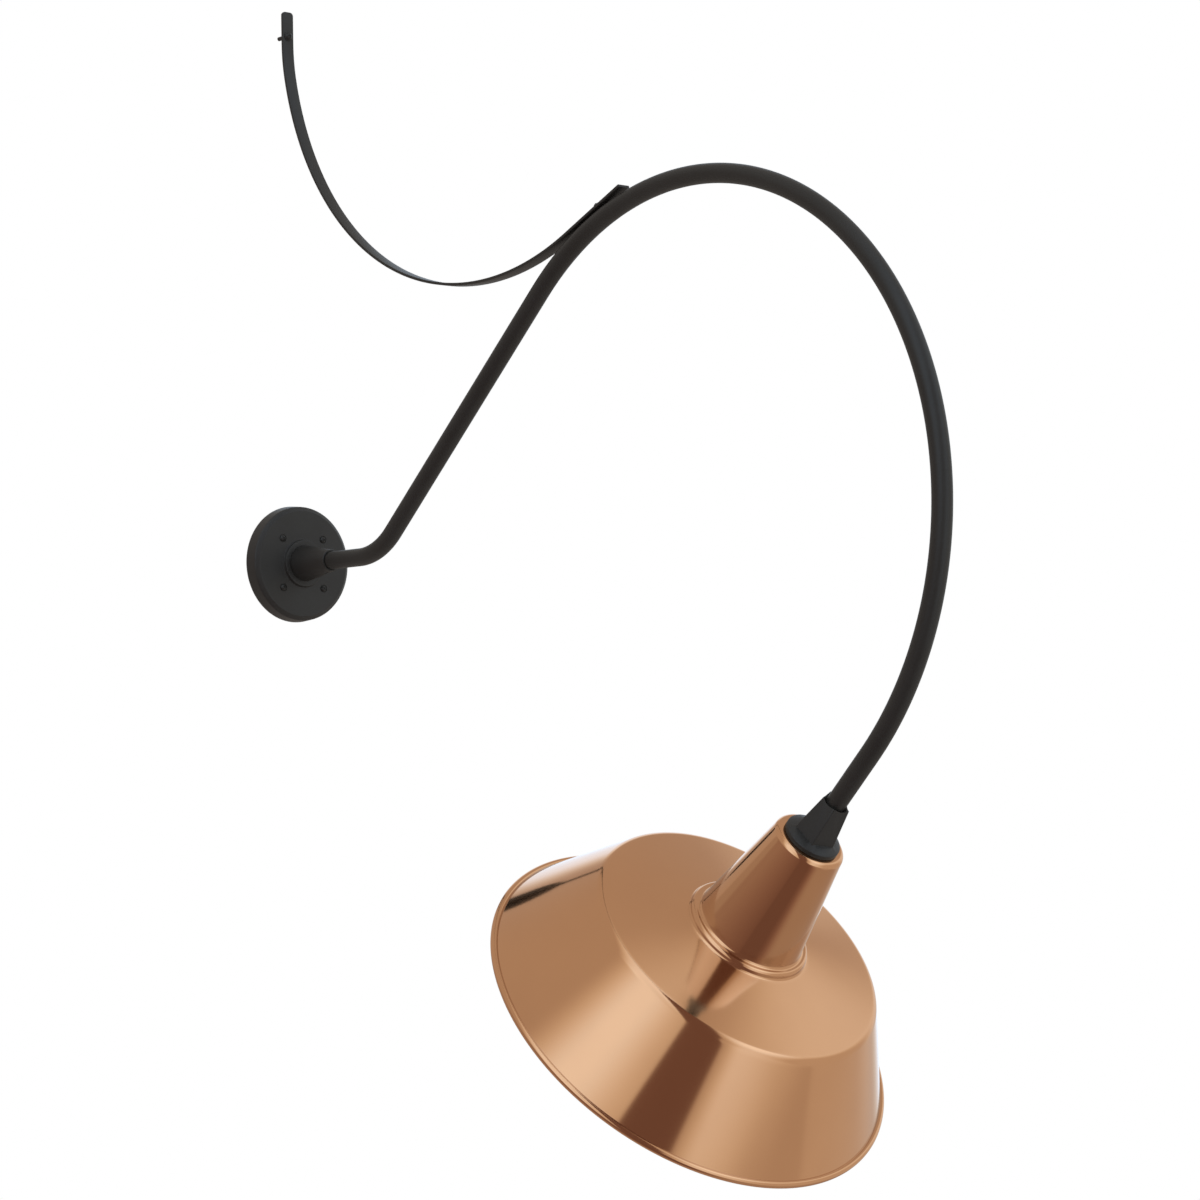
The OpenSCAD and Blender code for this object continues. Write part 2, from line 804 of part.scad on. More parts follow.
module shade_hub() {
    flat_top = shade_hub_top_r * cos(180 / shade_hub_sides);
    flat_foot = shade_hub_foot_r * cos(180 / shade_hub_sides);
    taper = atan2(flat_foot - flat_top, shade_hub_h);
    flange_in = [flange_slope_r, 0];
    flange_top = [flange_r, flange_fall];
    flange_foot = [flange_r, flange_fall + flange_t];
    seat = pipe_r + grip_clear;
    color(BLACK)
        on_axis(hub_top_s)
            difference() {
                union() {
                    difference() {
                        cylinder(r = flange_r - over, h = shade_hub_h + flange_fall);
                        for (i = [0:shade_hub_sides - 1])
                            rotate([0, 0, shade_hub_turn + (i + 0.5) * 360 / shade_hub_sides])
                                translate([flat_top, 0, 0])
                                    rotate([0, taper, 0])
                                        translate([0, -flange_r, -shade_hub_h])
                                            cube([flange_r, 2 * flange_r, 3 * shade_hub_h]);
                    }
                    translate([0, 0, shade_hub_h])
                        rotate_extrude()
                            polygon(concat(
                                [[0, 0], flange_in],
                                rounded(flange_in, flange_top, flange_foot, flange_round),
                                [flange_foot, [0, flange_foot[1]]]));
                    translate([0, 0, shade_hub_h])
                        cylinder(r = shade_spigot_r, h = flange_foot[1] + shade_spigot_l);
                }
                translate([0, 0, -over])
                    cylinder(r1 = seat + shade_hub_sink + over, r2 = seat, h = shade_hub_sink + over);
                translate([0, 0, -over])
                    cylinder(r = seat, h = grip_end_s - hub_top_s + over);
                cylinder(r = channel_r, h = shade_s + shade_spigot_l - hub_top_s + over);
                shade_set_place() cylinder(r = shade_set_r + fixed_clear, h = shade_hub_foot_r);
            }
}

// Radial line of the shade hub's set screw, on a flat that faces the wall
module shade_set_place() {
    translate([0, 0, shade_set_down])
        rotate([0, 0, shade_hub_turn + 2.5 * 360 / shade_hub_sides])
            rotate([0, 90, 0])
                children();
}

module shade_set_screw() {
    flat_top = shade_hub_top_r * cos(180 / shade_hub_sides);
    start_r = pipe_r + 0.3;
    screw_l = flat_top + shade_set_stand - start_r;
    color(STEEL)
        on_axis(hub_top_s)
            shade_set_place()
                difference() {
                    translate([0, 0, start_r]) cylinder(r = shade_set_r, h = screw_l);
                    translate([0, 0, start_r + screw_l - set_socket])
                        hexagon(shade_set_r, set_socket + over);
                }
}

// Outer outline of the shade from its hole to its rolled rim
function shade_outline() =
    let (hole = [shade_spigot_r + loose_clear, 0])
    let (neck_top = [neck_top_r, 0])
    let (groove = [neck_foot_r, neck_h])
    let (collar_c = [collar_r, collar_z])
    let (bead = arc(collar_c, collar_bead_r, bead_from, bead_to, 10))
    let (shoulder = [shoulder_r, shoulder_z])
    let (rim = arc(rim_c, rim_bead_r, rim_from, rim_to, 20))
    concat([hole],
        rounded(hole, neck_top, groove, neck_round, 10),
        rounded(neck_top, groove, bead[0], groove_round, 4),
        bead,
        rounded(bead[10], collar_foot, shoulder, collar_foot_round, 5),
        rounded(collar_foot, shoulder, rim[0], shoulder_round, 9),
        rim);

module shade() {
    color(COPPER)
        on_axis(shade_s)
            rotate_extrude()
                polygon(sheet(shade_outline(), sheet_t));
}

module rim_wire() {
    color(STEEL)
        on_axis(shade_s)
            rotate_extrude()
                translate(rim_c)
                    circle(r = min(rim_wire_r, rim_bead_r - sheet_t - fixed_clear));
}

module shade_gasket() {
    color(RUBBER)
        on_axis(shade_s + gasket_z)
            tube(shade_gasket_t, shade_gasket_r, shade_spigot_r + loose_clear);
}

module shade_locknut() {
    color(STEEL)
        on_axis(shade_s + shade_nut_z)
            difference() {
                hexagon(shade_nut_af, shade_nut_t);
                translate([0, 0, -over]) cylinder(r = shade_spigot_r + fixed_clear, h = shade_nut_t + 2 * over);
            }
}

// Lamp holder

module socket_cup() {
    hole_r = shade_spigot_r + loose_clear;
    color(STEEL)
        on_axis(shade_s + cup_z)
            difference() {
                rotate_extrude()
                    polygon([[hole_r, 0], [cup_r, 0], [cup_r, cup_h],
                        [cup_r - cup_t, cup_h], [cup_r - cup_t, cup_t], [hole_r, cup_t]]);
                cup_screw_places() cylinder(r = cup_screw_r + fixed_clear, h = cup_r + over);
            }
}

// Radial lines of the two cup screws, from the cup's own height
module cup_screw_places() {
    for (a = [0, 180])
        translate([0, 0, cup_h - cup_screw_up])
            rotate([0, 0, a])
                rotate([0, 90, 0])
                    children();
}

module cup_screws() {
    color(STEEL)
        on_axis(shade_s + cup_z)
            cup_screw_places() {
                translate([0, 0, cup_r]) pan_head(2 * cup_screw_r, cup_screw_head_h);
                translate([0, 0, cup_r - cup_screw_deep])
                    cylinder(r = cup_screw_r, h = cup_screw_deep + cup_screw_head_h / 2);
            }
}

module socket_porcelain() {
    in_cup = cup_r - cup_t - loose_clear;
    step = [porcelain_r, cup_end + 1];
    outline = concat(
        [[0, porcelain_z]],
        rounded([0, porcelain_z], [in_cup, porcelain_z], [in_cup, cup_end], porcelain_round),
        [[in_cup, cup_end], step],
        rounded(step, [porcelain_r, porcelain_end], [0, porcelain_end], porcelain_round),
        [[shell_room_r, porcelain_end], [shell_room_r, floor_z], [0, floor_z]]);
    color(PORCELAIN)
        on_axis(shade_s)
            difference() {
                rotate_extrude() polygon(outline);
                translate([0, 0, porcelain_z - over])
                    cylinder(r = cup_screw_r + fixed_clear, h = floor_z - porcelain_z + 2 * over);
                terminal_places() cylinder(r = cup_screw_r + fixed_clear, h = terminal_deep + over);
                translate([0, 0, cup_z])
                    cup_screw_places() cylinder(r = cup_screw_r + fixed_clear, h = cup_r + over);
            }
}

module socket_shell() {
    color(BRASS)
        on_axis(shade_s + porcelain_end - shell_l - 1)
            tube(shell_l, shell_r + shell_t, shell_r);
}

module centre_contact() {
    color(BRASS)
        on_axis(shade_s) {
            translate([0, 0, floor_z]) cylinder(r = contact_r, h = contact_t);
            translate([0, 0, porcelain_z]) cylinder(r = cup_screw_r, h = floor_z - porcelain_z + contact_t);
        }
}

module terminal_places() {
    for (side = [-1, 1])
        translate([0, side * terminal_off, porcelain_z - over])
            children();
}

module terminal_screws() {
    color(BRASS)
        on_axis(shade_s)
            terminal_places() {
                translate([0, 0, over - terminal_head_h]) cylinder(r = terminal_head_r, h = terminal_head_h);
                cylinder(r = cup_screw_r, h = terminal_deep + over);
            }
}

module socket_leads() {
    start = pipe_end_s + 0.6 - shade_s;
    color(RUBBER)
        on_axis(shade_s)
            for (side = [-1, 1])
                translate([0, side * socket_lead_off, start])
                    cylinder(r = lead_r, h = porcelain_z - start);
}

// Bulb, whose tip slides and whose other pieces turn as it is screwed in or out

module bulb_tip() {
    color(STEEL)
        on_axis(shade_s + tip_z)
            rotate_extrude()
                polygon(concat([[0, 0]], rounded([0, 0], [tip_r - 0.7, 0], [tip_r, tip_h], 1),
                    [[tip_r, tip_h], [0, tip_h]]));
}

module bulb_insulator() {
    color(RUBBER)
        on_axis(shade_s + tip_z + tip_h)
            cylinder(r1 = tip_r + 0.3, r2 = base_r - base_edge, h = insulator_h);
}

module bulb_base() {
    color(STEEL)
        on_axis(shade_s + base_z)
            rotate_extrude()
                polygon([[0, 0], [base_r - base_edge, 0], [base_r, base_edge], [base_r, bulb_base_l],
                    [base_r - base_wall, bulb_base_l], [base_r - base_wall, base_floor], [0, base_floor]]);
}

// Outer outline of the glass from inside the base to the crown of the globe
function glass_outline() =
    let (tangent = [globe_r * cos(bulb_cone_deg), globe_z - globe_r * sin(bulb_cone_deg)])
    let (fall = (tangent[0] - neck_r) / tan(bulb_cone_deg))
    let (start = [neck_r, base_end - glass_in_base])
    concat([start],
        rounded(start, [neck_r, tangent[1] - fall], tangent, 20, 6),
        arc([0, globe_z], globe_r, -bulb_cone_deg, 90, 20));

module bulb_glass() {
    color(GLASS)
        on_axis(shade_s)
            rotate_extrude()
                polygon([for (p = sheet(glass_outline(), glass_t)) [max(p[0], 0), p[1]]]);
}

module bulb_stem() {
    color(GLASS)
        on_axis(shade_s) {
            translate([0, 0, base_z + base_floor])
                cylinder(r = stem_r, h = stem_end - base_z - base_floor);
            translate([0, 0, base_end - glass_in_base])
                cylinder(r1 = neck_r - glass_t - loose_clear, r2 = stem_r, h = glass_in_base - 2);
        }
}

module bulb_filament() {
    wire_l = globe_r;
    spread = filament_spread;
    color(STEEL)
        on_axis(shade_s + stem_end) {
            for (side = [-1, 1])
                translate([side * 2, 0, 0])
                    rotate([0, side * atan2(spread, wire_l), 0])
                        cylinder(r = filament_lead_r, h = norm([spread, wire_l]));
            translate([-spread - 2, 0, wire_l])
                rotate([0, 90, 0])
                    cylinder(r = filament_r, h = 2 * spread + 4);
        }
}

wall_plate();
wall_gasket();
plate_screws();
ground_screw();
ground_lead();
arm_hub();
hub_washer();
hub_locknut();
hub_set_screw();
gooseneck_pipe();
strap_bolt();
strap_bolt_washer();
live_lead();
neutral_lead();
support_strap();
strap_wall_screw();
strap_wall_washer();
shade_hub();
shade_set_screw();
shade();
rim_wire();
shade_gasket();
shade_locknut();
socket_cup();
cup_screws();
socket_porcelain();
socket_shell();
centre_contact();
terminal_screws();
socket_leads();
bulb_tip();
bulb_insulator();
bulb_base();
bulb_glass();
bulb_stem();
bulb_filament();
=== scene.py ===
# %% [markdown]
# # A barn light on its gooseneck arm
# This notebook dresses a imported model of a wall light. The model brings the true places of the
# plate, pipe, strap and shade. The notebook adds the smooth forms and the finishes: satin black
# powder coat on the arm and polished copper on the shade.

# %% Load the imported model
import json
import math

import bmesh
import bpy
from mathutils import Matrix, Vector


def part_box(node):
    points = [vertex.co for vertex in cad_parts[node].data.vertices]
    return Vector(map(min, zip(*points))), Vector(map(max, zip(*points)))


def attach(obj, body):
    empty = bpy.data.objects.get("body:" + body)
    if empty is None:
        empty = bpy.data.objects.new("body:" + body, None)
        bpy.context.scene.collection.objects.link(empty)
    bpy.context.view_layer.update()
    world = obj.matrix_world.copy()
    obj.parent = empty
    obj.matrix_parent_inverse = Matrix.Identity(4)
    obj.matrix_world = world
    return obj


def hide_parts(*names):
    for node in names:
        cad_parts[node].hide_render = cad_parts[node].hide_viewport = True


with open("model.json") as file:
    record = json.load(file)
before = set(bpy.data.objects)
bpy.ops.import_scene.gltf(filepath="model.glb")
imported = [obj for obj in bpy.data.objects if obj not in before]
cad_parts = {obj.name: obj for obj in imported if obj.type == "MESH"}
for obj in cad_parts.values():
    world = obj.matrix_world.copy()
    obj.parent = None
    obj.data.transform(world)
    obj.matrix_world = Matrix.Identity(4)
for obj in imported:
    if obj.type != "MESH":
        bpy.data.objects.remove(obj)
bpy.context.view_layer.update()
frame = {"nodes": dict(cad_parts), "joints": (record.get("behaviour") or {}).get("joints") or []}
joints = {joint["name"]: joint for joint in frame["joints"]}

# %% [markdown]
# ## The camera
# The photographer stood to the right of the arm and a little below it, with a long lens. A view
# is easiest to give as an azimuth and an elevation round the object, a small roll, a distance,
# and how far the object sits off the middle of the frame. The camera is turned but not aimed,
# so upright lines stay as they are in the photograph.

# %% Place the camera
VIEW_AZIMUTH = math.radians(49.05)
VIEW_ELEVATION = math.radians(-3.268)
VIEW_ROLL = math.radians(-1.118)
VIEW_DISTANCE = 4.0213
VIEW_ACROSS = 0.37138
VIEW_UP = -0.04311
VIEW_LENS_MM = 99.37

back = Vector((
    math.sin(VIEW_AZIMUTH) * math.cos(VIEW_ELEVATION),
    -math.cos(VIEW_AZIMUTH) * math.cos(VIEW_ELEVATION),
    math.sin(VIEW_ELEVATION),
))
level = Vector((math.cos(VIEW_AZIMUTH), math.sin(VIEW_AZIMUTH), 0))
upright = back.cross(level)
right = level * math.cos(VIEW_ROLL) + upright * math.sin(VIEW_ROLL)
up = upright * math.cos(VIEW_ROLL) - level * math.sin(VIEW_ROLL)
camera = bpy.data.objects.new("camera", bpy.data.cameras.new("camera"))
bpy.context.scene.collection.objects.link(camera)
camera.data.lens = VIEW_LENS_MM
camera.data.clip_end = 60
camera.matrix_world = Matrix.Translation(
    back * VIEW_DISTANCE + right * VIEW_ACROSS + up * VIEW_UP
) @ Matrix((right, up, back)).transposed().to_4x4()
bpy.context.scene.camera = camera
print("camera at", [round(v, 3) for v in camera.matrix_world.translation])

# %% [markdown]
# ## Shader arithmetic
# A procedural finish is a small sum: noise times a strength, plus a base value. Written as nodes
# such a sum is hard to read, so one class wraps a node's output and lets Python's own signs make
# the Math nodes. Every other node comes from one method, add.


# %% A small language for shader nodes
class Wire:
    """The output of a shader node, which takes part in arithmetic."""

    def __init__(self, shader, socket):
        self.shader = shader
        self.socket = socket

    def math(self, operation, first, second):
        return self.shader.add("ShaderNodeMath", {"operation": operation}, {0: first, 1: second})

    def __add__(self, other):
        return self.math("ADD", self, other)

    def __radd__(self, other):
        return self.math("ADD", other, self)

    def __sub__(self, other):
        return self.math("SUBTRACT", self, other)

    def __rsub__(self, other):
        return self.math("SUBTRACT", other, self)

    def __mul__(self, other):
        return self.math("MULTIPLY", self, other)

    def __rmul__(self, other):
        return self.math("MULTIPLY", other, self)

    def __truediv__(self, other):
        return self.math("DIVIDE", self, other)

    def __pow__(self, other):
        return self.math("POWER", self, other)


class Shader:
    """A node tree that is filled from Python."""

    def __init__(self, tree):
        self.tree = tree
        self.tree.nodes.clear()

    def add(self, kind, settings=None, inputs=None, out=0):
        """Adds a node, sets its settings, then the values or links of its sockets."""
        node = self.tree.nodes.new(kind)
        for name, value in (settings or {}).items():
            if name == "stops":
                self.set_stops(node.color_ramp, value)
            else:
                setattr(node, name, value)
        for name, value in (inputs or {}).items():
            if isinstance(value, Wire):
                self.tree.links.new(value.socket, node.inputs[name])
            else:
                node.inputs[name].default_value = value
        return Wire(self, node.outputs[out]) if node.outputs else node

    @staticmethod
    def set_stops(ramp, stops):
        """Gives a colour ramp its stops, each a place and a grey level or a colour."""
        while len(ramp.elements) < len(stops):
            ramp.elements.new(1)
        for element, (place, value) in zip(ramp.elements, stops):
            element.position = place
            element.color = (value,) * 3 + (1,) if isinstance(value, (int, float)) else value

    def ramp(self, value, low, high):
        """0 below low, 1 above high, and a smooth rise between them; turned round, it falls."""
        return self.add(
            "ShaderNodeMapRange", {"interpolation_type": "SMOOTHSTEP"},
            {"Value": value, "From Min": low, "From Max": high},
        )

    def spread(self, value, low, high, start, end):
        """Carries a value from one range to another in a straight line, and stops at its ends."""
        return self.add(
            "ShaderNodeMapRange", None,
            {"Value": value, "From Min": low, "From Max": high, "To Min": start, "To Max": end},
        )

    def mix(self, share, first, second):
        """A colour between two colours."""
        return self.add(
            "ShaderNodeMix", {"data_type": "RGBA"}, {0: share, 6: first, 7: second}, out=2
        )

    def dot(self, vector, direction):
        return self.add(
            "ShaderNodeVectorMath", {"operation": "DOT_PRODUCT"},
            {0: vector, 1: tuple(direction)}, out="Value",
        )


# %% [markdown]
# ## Places on the object
# Each turned piece is shaped upright, round its own Z axis, and then laid along a heading in the
# plane in which the pipe bends. The shade's axis and the end of the crown come from the packed
# joints, so a change of the model moves the new pieces too.

# %% Headings and placing
MM = 0.001
SHADE_AXIS = Vector(joints["shade_turn"]["axis"])
CROWN_END = Vector(joints["shade_turn"]["pos_m"])
SHADE_HEADING = math.atan2(SHADE_AXIS.z, SHADE_AXIS.x)


def ahead(heading):
    return Vector((math.cos(heading), 0, math.sin(heading)))


def leftward(heading):
    return Vector((-math.sin(heading), 0, math.cos(heading)))


def laid(point, heading):
    """The placing that turns local Z to a heading and keeps local Y along Y."""
    axes = Matrix((-leftward(heading), Vector((0, 1, 0)), ahead(heading))).transposed()
    return Matrix.Translation(point) @ axes.to_4x4()


print("shade's heading:", round(math.degrees(SHADE_HEADING), 2))

# %% [markdown]
# ## Outlines
# A turned piece starts as an outline of radius and height. Corners are rounded by a short arc, as
# a lathe tool or a casting leaves them, and long straight stretches get extra points, so that the
# smooth shading of a cone stays true right up to its rounded edge.


# %% Arcs, rounded corners and even spacing
def arc(centre, radius, start, end, steps):
    """Points on an arc, with the angles in degrees."""
    angles = [math.radians(start + (end - start) * i / steps) for i in range(steps + 1)]
    x, y = centre
    return [Vector((x + radius * math.cos(a), y + radius * math.sin(a))) for a in angles]


def rounded(before, corner, after, radius, steps=6):
    """Points that round a corner between two neighbours."""
    before, corner, after = Vector(before), Vector(corner), Vector(after)
    u, v = (before - corner).normalized(), (after - corner).normalized()
    half = u.angle(v) / 2
    centre = corner + (u + v).normalized() * radius / math.sin(half)
    first = corner + u * radius / math.tan(half) - centre
    last = corner + v * radius / math.tan(half) - centre
    start = math.degrees(math.atan2(first.y, first.x))
    turn = (math.degrees(math.atan2(last.y, last.x)) - start + 540) % 360 - 180
    return arc(centre, radius, start, start + turn, steps)


def spaced(outline, step):
    """The outline with extra points wherever two neighbours are further apart than a step."""
    points = [Vector(outline[0])]
    for corner in map(Vector, outline[1:]):
        start = points[-1].copy()
        count = max(1, math.ceil((corner - start).length / step))
        points += [start.lerp(corner, i / count) for i in range(1, count + 1)]
    return points


# %% [markdown]
# ## From a mesh to a piece
# Every new piece goes through the same door: its mesh gets smooth faces with sharp edges where
# the surface really turns, a finish, the body that it rides on, and the node that it stands for.


# %% Turning and finishing a piece
def turned(outline, steps=128, closed=False):
    """Spins an outline of (radius, height) points, in millimetres, round Z."""
    bm = bmesh.new()
    verts = [bm.verts.new((r * MM, 0, z * MM)) for r, z in outline]
    pairs = list(zip(verts, verts[1:])) + ([(verts[-1], verts[0])] if closed else [])
    edges = [bm.edges.new(pair) for pair in pairs]
    bmesh.ops.spin(
        bm, geom=verts + edges, cent=(0, 0, 0), axis=(0, 0, 1),
        angle=2 * math.pi, steps=steps, use_merge=True,
    )
    bmesh.ops.remove_doubles(bm, verts=bm.verts, dist=1e-6)
    bmesh.ops.recalc_face_normals(bm, faces=bm.faces)
    return bm


def rod(radius, start, end, steps=32):
    """A closed round bar along Z."""
    return turned([(0, start), (radius, start), (radius, end), (0, end)], steps)


def moved(bm, matrix):
    bmesh.ops.transform(bm, matrix=matrix, verts=bm.verts)
    return bm


def combined(first, second, operation):
    """Joins two closed meshes, or cuts the second out of the first."""
    pair = []
    for bm in (first, second):
        mesh = bpy.data.meshes.new("blank")
        bm.to_mesh(mesh)
        bm.free()
        pair.append(bpy.data.objects.new("blank", mesh))
        bpy.context.scene.collection.objects.link(pair[-1])
    step = pair[0].modifiers.new("step", "BOOLEAN")
    step.object, step.operation, step.solver = pair[1], operation, "EXACT"
    shaped = pair[0].evaluated_get(bpy.context.evaluated_depsgraph_get())
    result = bmesh.new()
    result.from_mesh(shaped.to_mesh())
    shaped.to_mesh_clear()
    for made in pair:
        mesh = made.data
        bpy.data.objects.remove(made)
        bpy.data.meshes.remove(mesh)
    bmesh.ops.remove_doubles(result, verts=result.verts, dist=1e-6)
    return result


def softened(bm, width, angle=35, segments=2):
    """Rounds every edge that turns by more than an angle, as paint and polish do."""
    bmesh.ops.dissolve_limit(
        bm, angle_limit=math.radians(0.5), verts=bm.verts, edges=bm.edges, delimit={"NORMAL"}
    )
    edges = [e for e in bm.edges if e.is_manifold and e.calc_face_angle(0) > math.radians(angle)]
    bmesh.ops.bevel(
        bm, geom=edges, offset=width * MM, offset_type="OFFSET", segments=segments, profile=0.5,
        affect="EDGES", clamp_overlap=True, material=-1,
    )
    return bm


def piece(name, bm, finish, body, nodes, place=None, sharp=40):
    """Makes an object of a bmesh, in place, riding on a body and standing for nodes."""
    if place is not None:
        bmesh.ops.transform(bm, matrix=place, verts=bm.verts)
    mesh = bpy.data.meshes.new(name)
    bm.to_mesh(mesh)
    bm.free()
    mesh.polygons.foreach_set("use_smooth", [True] * len(mesh.polygons))
    mesh.set_sharp_from_angle(angle=math.radians(sharp))
    made = bpy.data.objects.new(name, mesh)
    bpy.context.scene.collection.objects.link(made)
    mesh.materials.append(finish)
    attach(made, body)
    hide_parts(*nodes)
    print(f"{name}: {len(mesh.polygons)} faces, {[round(v * 1000, 1) for v in made.dimensions]} mm")
    return made


# %% [markdown]
# ## Finishes
# Powder coat is a skin of melted plastic: satin, with a very fine orange peel. Polished copper is
# a metal whose colour sits in its reflections. The steel, brass, porcelain and rubber parts show
# only from below or behind, but each still gets its own grain.


# %% A finish from a short recipe
def finish(
    name, colour, varied, roughness, spread, metallic=0.0, grain=900.0, bump=0.02, **sockets
):
    """A principled finish whose colour and roughness wander a little and whose surface is grained.

    varied is the colour's second tone, spread is how far the roughness wanders, grain is the
    noise's scale and bump its depth in millimetres."""
    material = bpy.data.materials.new(name)
    material.use_nodes = True
    shader = Shader(material.node_tree)
    place = shader.add("ShaderNodeTexCoord", out="Object")
    broad = shader.add("ShaderNodeTexNoise", None, {"Vector": place, "Scale": 14.0, "Detail": 3.0})
    fine = shader.add("ShaderNodeTexNoise", None, {"Vector": place, "Scale": grain, "Detail": 2.0})
    bumped = shader.add(
        "ShaderNodeBump", None, {"Strength": 1.0, "Distance": bump * MM, "Height": fine}
    )
    inputs = {
        "Base Color": shader.mix(shader.ramp(broad, 0.35, 0.65), colour + (1,), varied + (1,)),
        "Roughness": roughness - spread / 2 + broad * spread,
        "Metallic": metallic, "Normal": bumped,
    }
    inputs.update(sockets)
    surface = shader.add("ShaderNodeBsdfPrincipled", None, inputs)
    shader.add("ShaderNodeOutputMaterial", None, {"Surface": surface})
    return material


BLACK = finish("satin_black", (0.023, 0.021, 0.018), (0.027, 0.025, 0.022), 0.46, 0.08)
ZINC = finish("zinc_plate", (0.50, 0.51, 0.53), (0.58, 0.58, 0.59), 0.36, 0.10, metallic=1.0)
BRASS = finish("plain_brass", (0.66, 0.47, 0.20), (0.72, 0.54, 0.26), 0.28, 0.10, metallic=1.0)
PORCELAIN = finish("porcelain", (0.80, 0.79, 0.75), (0.84, 0.83, 0.80), 0.18, 0.06, grain=300.0)
RUBBER = finish("rubber", (0.022, 0.022, 0.022), (0.030, 0.030, 0.030), 0.75, 0.10)
GREEN_LACQUER = finish("green_lacquer", (0.02, 0.16, 0.06), (0.03, 0.20, 0.07), 0.30, 0.08)
GREEN_SLEEVE = finish("green_sleeve", (0.02, 0.20, 0.05), (0.03, 0.23, 0.06), 0.45, 0.08)
BLACK_SLEEVE = finish("black_sleeve", (0.018, 0.018, 0.018), (0.025, 0.025, 0.025), 0.42, 0.08)
WHITE_SLEEVE = finish("white_sleeve", (0.72, 0.71, 0.67), (0.78, 0.77, 0.73), 0.42, 0.08)
SOLDER = finish(
    "solder", (0.40, 0.40, 0.41), (0.48, 0.48, 0.48), 0.45, 0.15, metallic=1.0, bump=0.1
)
BLACK_GLASS = finish("black_glass", (0.015, 0.015, 0.02), (0.02, 0.02, 0.025), 0.12, 0.05)
TUNGSTEN = finish("tungsten", (0.25, 0.25, 0.27), (0.32, 0.32, 0.33), 0.5, 0.1, metallic=1.0)
FROSTED = finish(
    "frosted_glass", (0.86, 0.86, 0.84), (0.90, 0.90, 0.88), 0.32, 0.06, bump=0.01,
    **{"Coat Weight": 0.3},
)


# %% [markdown]
# ## Copper
# The shade is spun: a flat disc is pressed over a turning former, which leaves faint rings round
# the axis. After polishing only a trace of them is left. The rings follow the distance from the
# shade's axis, so the pattern's coordinates are first turned into the shade's own. Copper seen in
# copper would glow too deep an orange, so a mirrored ray meets a paler tone.


# %% Polished copper
def copper():
    material = bpy.data.materials.new("polished_copper")
    material.use_nodes = True
    shader = Shader(material.node_tree)
    place = shader.add("ShaderNodeTexCoord", out="Object")
    own = shader.add(
        "ShaderNodeMapping", {"vector_type": "TEXTURE"},
        {
            "Vector": place, "Location": CROWN_END,
            "Rotation": laid(CROWN_END, SHADE_HEADING).to_euler(),
        },
    )
    flat = shader.add(
        "ShaderNodeVectorMath", {"operation": "MULTIPLY"}, {0: own, 1: (1, 1, 0)}
    )
    radius = shader.add(
        "ShaderNodeVectorMath", {"operation": "LENGTH"}, {0: flat}, out="Value"
    )
    rings = shader.add(
        "ShaderNodeTexNoise", {"noise_dimensions": "1D"},
        {"W": radius, "Scale": 900.0, "Detail": 2.0},
    )
    broad = shader.add("ShaderNodeTexNoise", None, {"Vector": own, "Scale": 9.0, "Detail": 4.0})
    bumped = shader.add(
        "ShaderNodeBump", None, {"Strength": 1.0, "Distance": 0.0015 * MM, "Height": rings}
    )
    mirrored = shader.add("ShaderNodeLightPath", out="Is Glossy Ray")
    colour = shader.mix(
        shader.ramp(broad, 0.3, 0.7), (0.80, 0.43, 0.225, 1), (0.77, 0.41, 0.215, 1)
    )
    surface = shader.add("ShaderNodeBsdfPrincipled", None, {
        "Base Color": shader.mix(mirrored, colour, (0.66, 0.52, 0.41, 1)),
        "Roughness": 0.085 + broad * 0.03,
        "Metallic": 1.0, "Normal": bumped,
    })
    shader.add("ShaderNodeOutputMaterial", None, {"Surface": surface})
    return material


COPPER = copper()

# %% [markdown]
# ## The nodes that keep their own shape
# The leads, the contacts, the rim's wire and the inside of the bulb come from the model as they
# are, and only need their finishes. A later piece that stands for a node takes the same finish.

# %% Finish the model's own nodes
NODE_FINISHES = {
    "wall_plate": BLACK, "arm_hub": BLACK, "gooseneck_pipe": BLACK, "support_strap": BLACK,
    "shade_hub": BLACK, "plate_screws": BLACK, "strap_bolt": BLACK, "strap_wall_screw": BLACK,
    "strap_bolt_washer": BLACK, "strap_wall_washer": BLACK,
    "hub_washer": ZINC, "hub_locknut": ZINC, "hub_set_screw": ZINC, "shade_set_screw": ZINC,
    "rim_wire": ZINC, "shade_locknut": ZINC, "socket_cup": ZINC, "cup_screws": ZINC,
    "bulb_base": ZINC, "shade": COPPER, "socket_shell": BRASS, "centre_contact": BRASS,
    "terminal_screws": BRASS,
    "socket_porcelain": PORCELAIN, "wall_gasket": RUBBER, "shade_gasket": RUBBER,
    "ground_screw": GREEN_LACQUER, "ground_lead": GREEN_SLEEVE, "live_lead": BLACK_SLEEVE,
    "socket_leads": BLACK_SLEEVE, "neutral_lead": WHITE_SLEEVE, "bulb_tip": SOLDER,
    "bulb_insulator": BLACK_GLASS, "bulb_glass": FROSTED, "bulb_stem": FROSTED,
    "bulb_filament": TUNGSTEN,
}
for name, node in frame["nodes"].items():
    node.data.materials.clear()
    node.data.materials.append(NODE_FINISHES[name])
print("nodes with a finish:", len(NODE_FINISHES))

# %% [markdown]
# ## The shade
# One outline gives the whole spun shell: the flat seat under the hub, the long neck, the collar
# bead, the top that falls to the shoulder, the skirt, and the rolled rim. The outline is the
# outer face, and a Solidify modifier gives it the sheet's thickness inwards.

# %% Spin the shade
SHEET = 1.0
SEAT_ABOVE = 117.4
HOLE = (13.1, 0)
NECK_TOP = (38.3, 0)
NECK_FOOT = (58.8, 128.2)
COLLAR = (63, 132.2)
COLLAR_BEAD = 4.2
COLLAR_FOOT = (67.8, 134.6)
SHOULDER = (161, 151.6)
RIM = (228.1, 261.7)
RIM_BEAD = 3.9

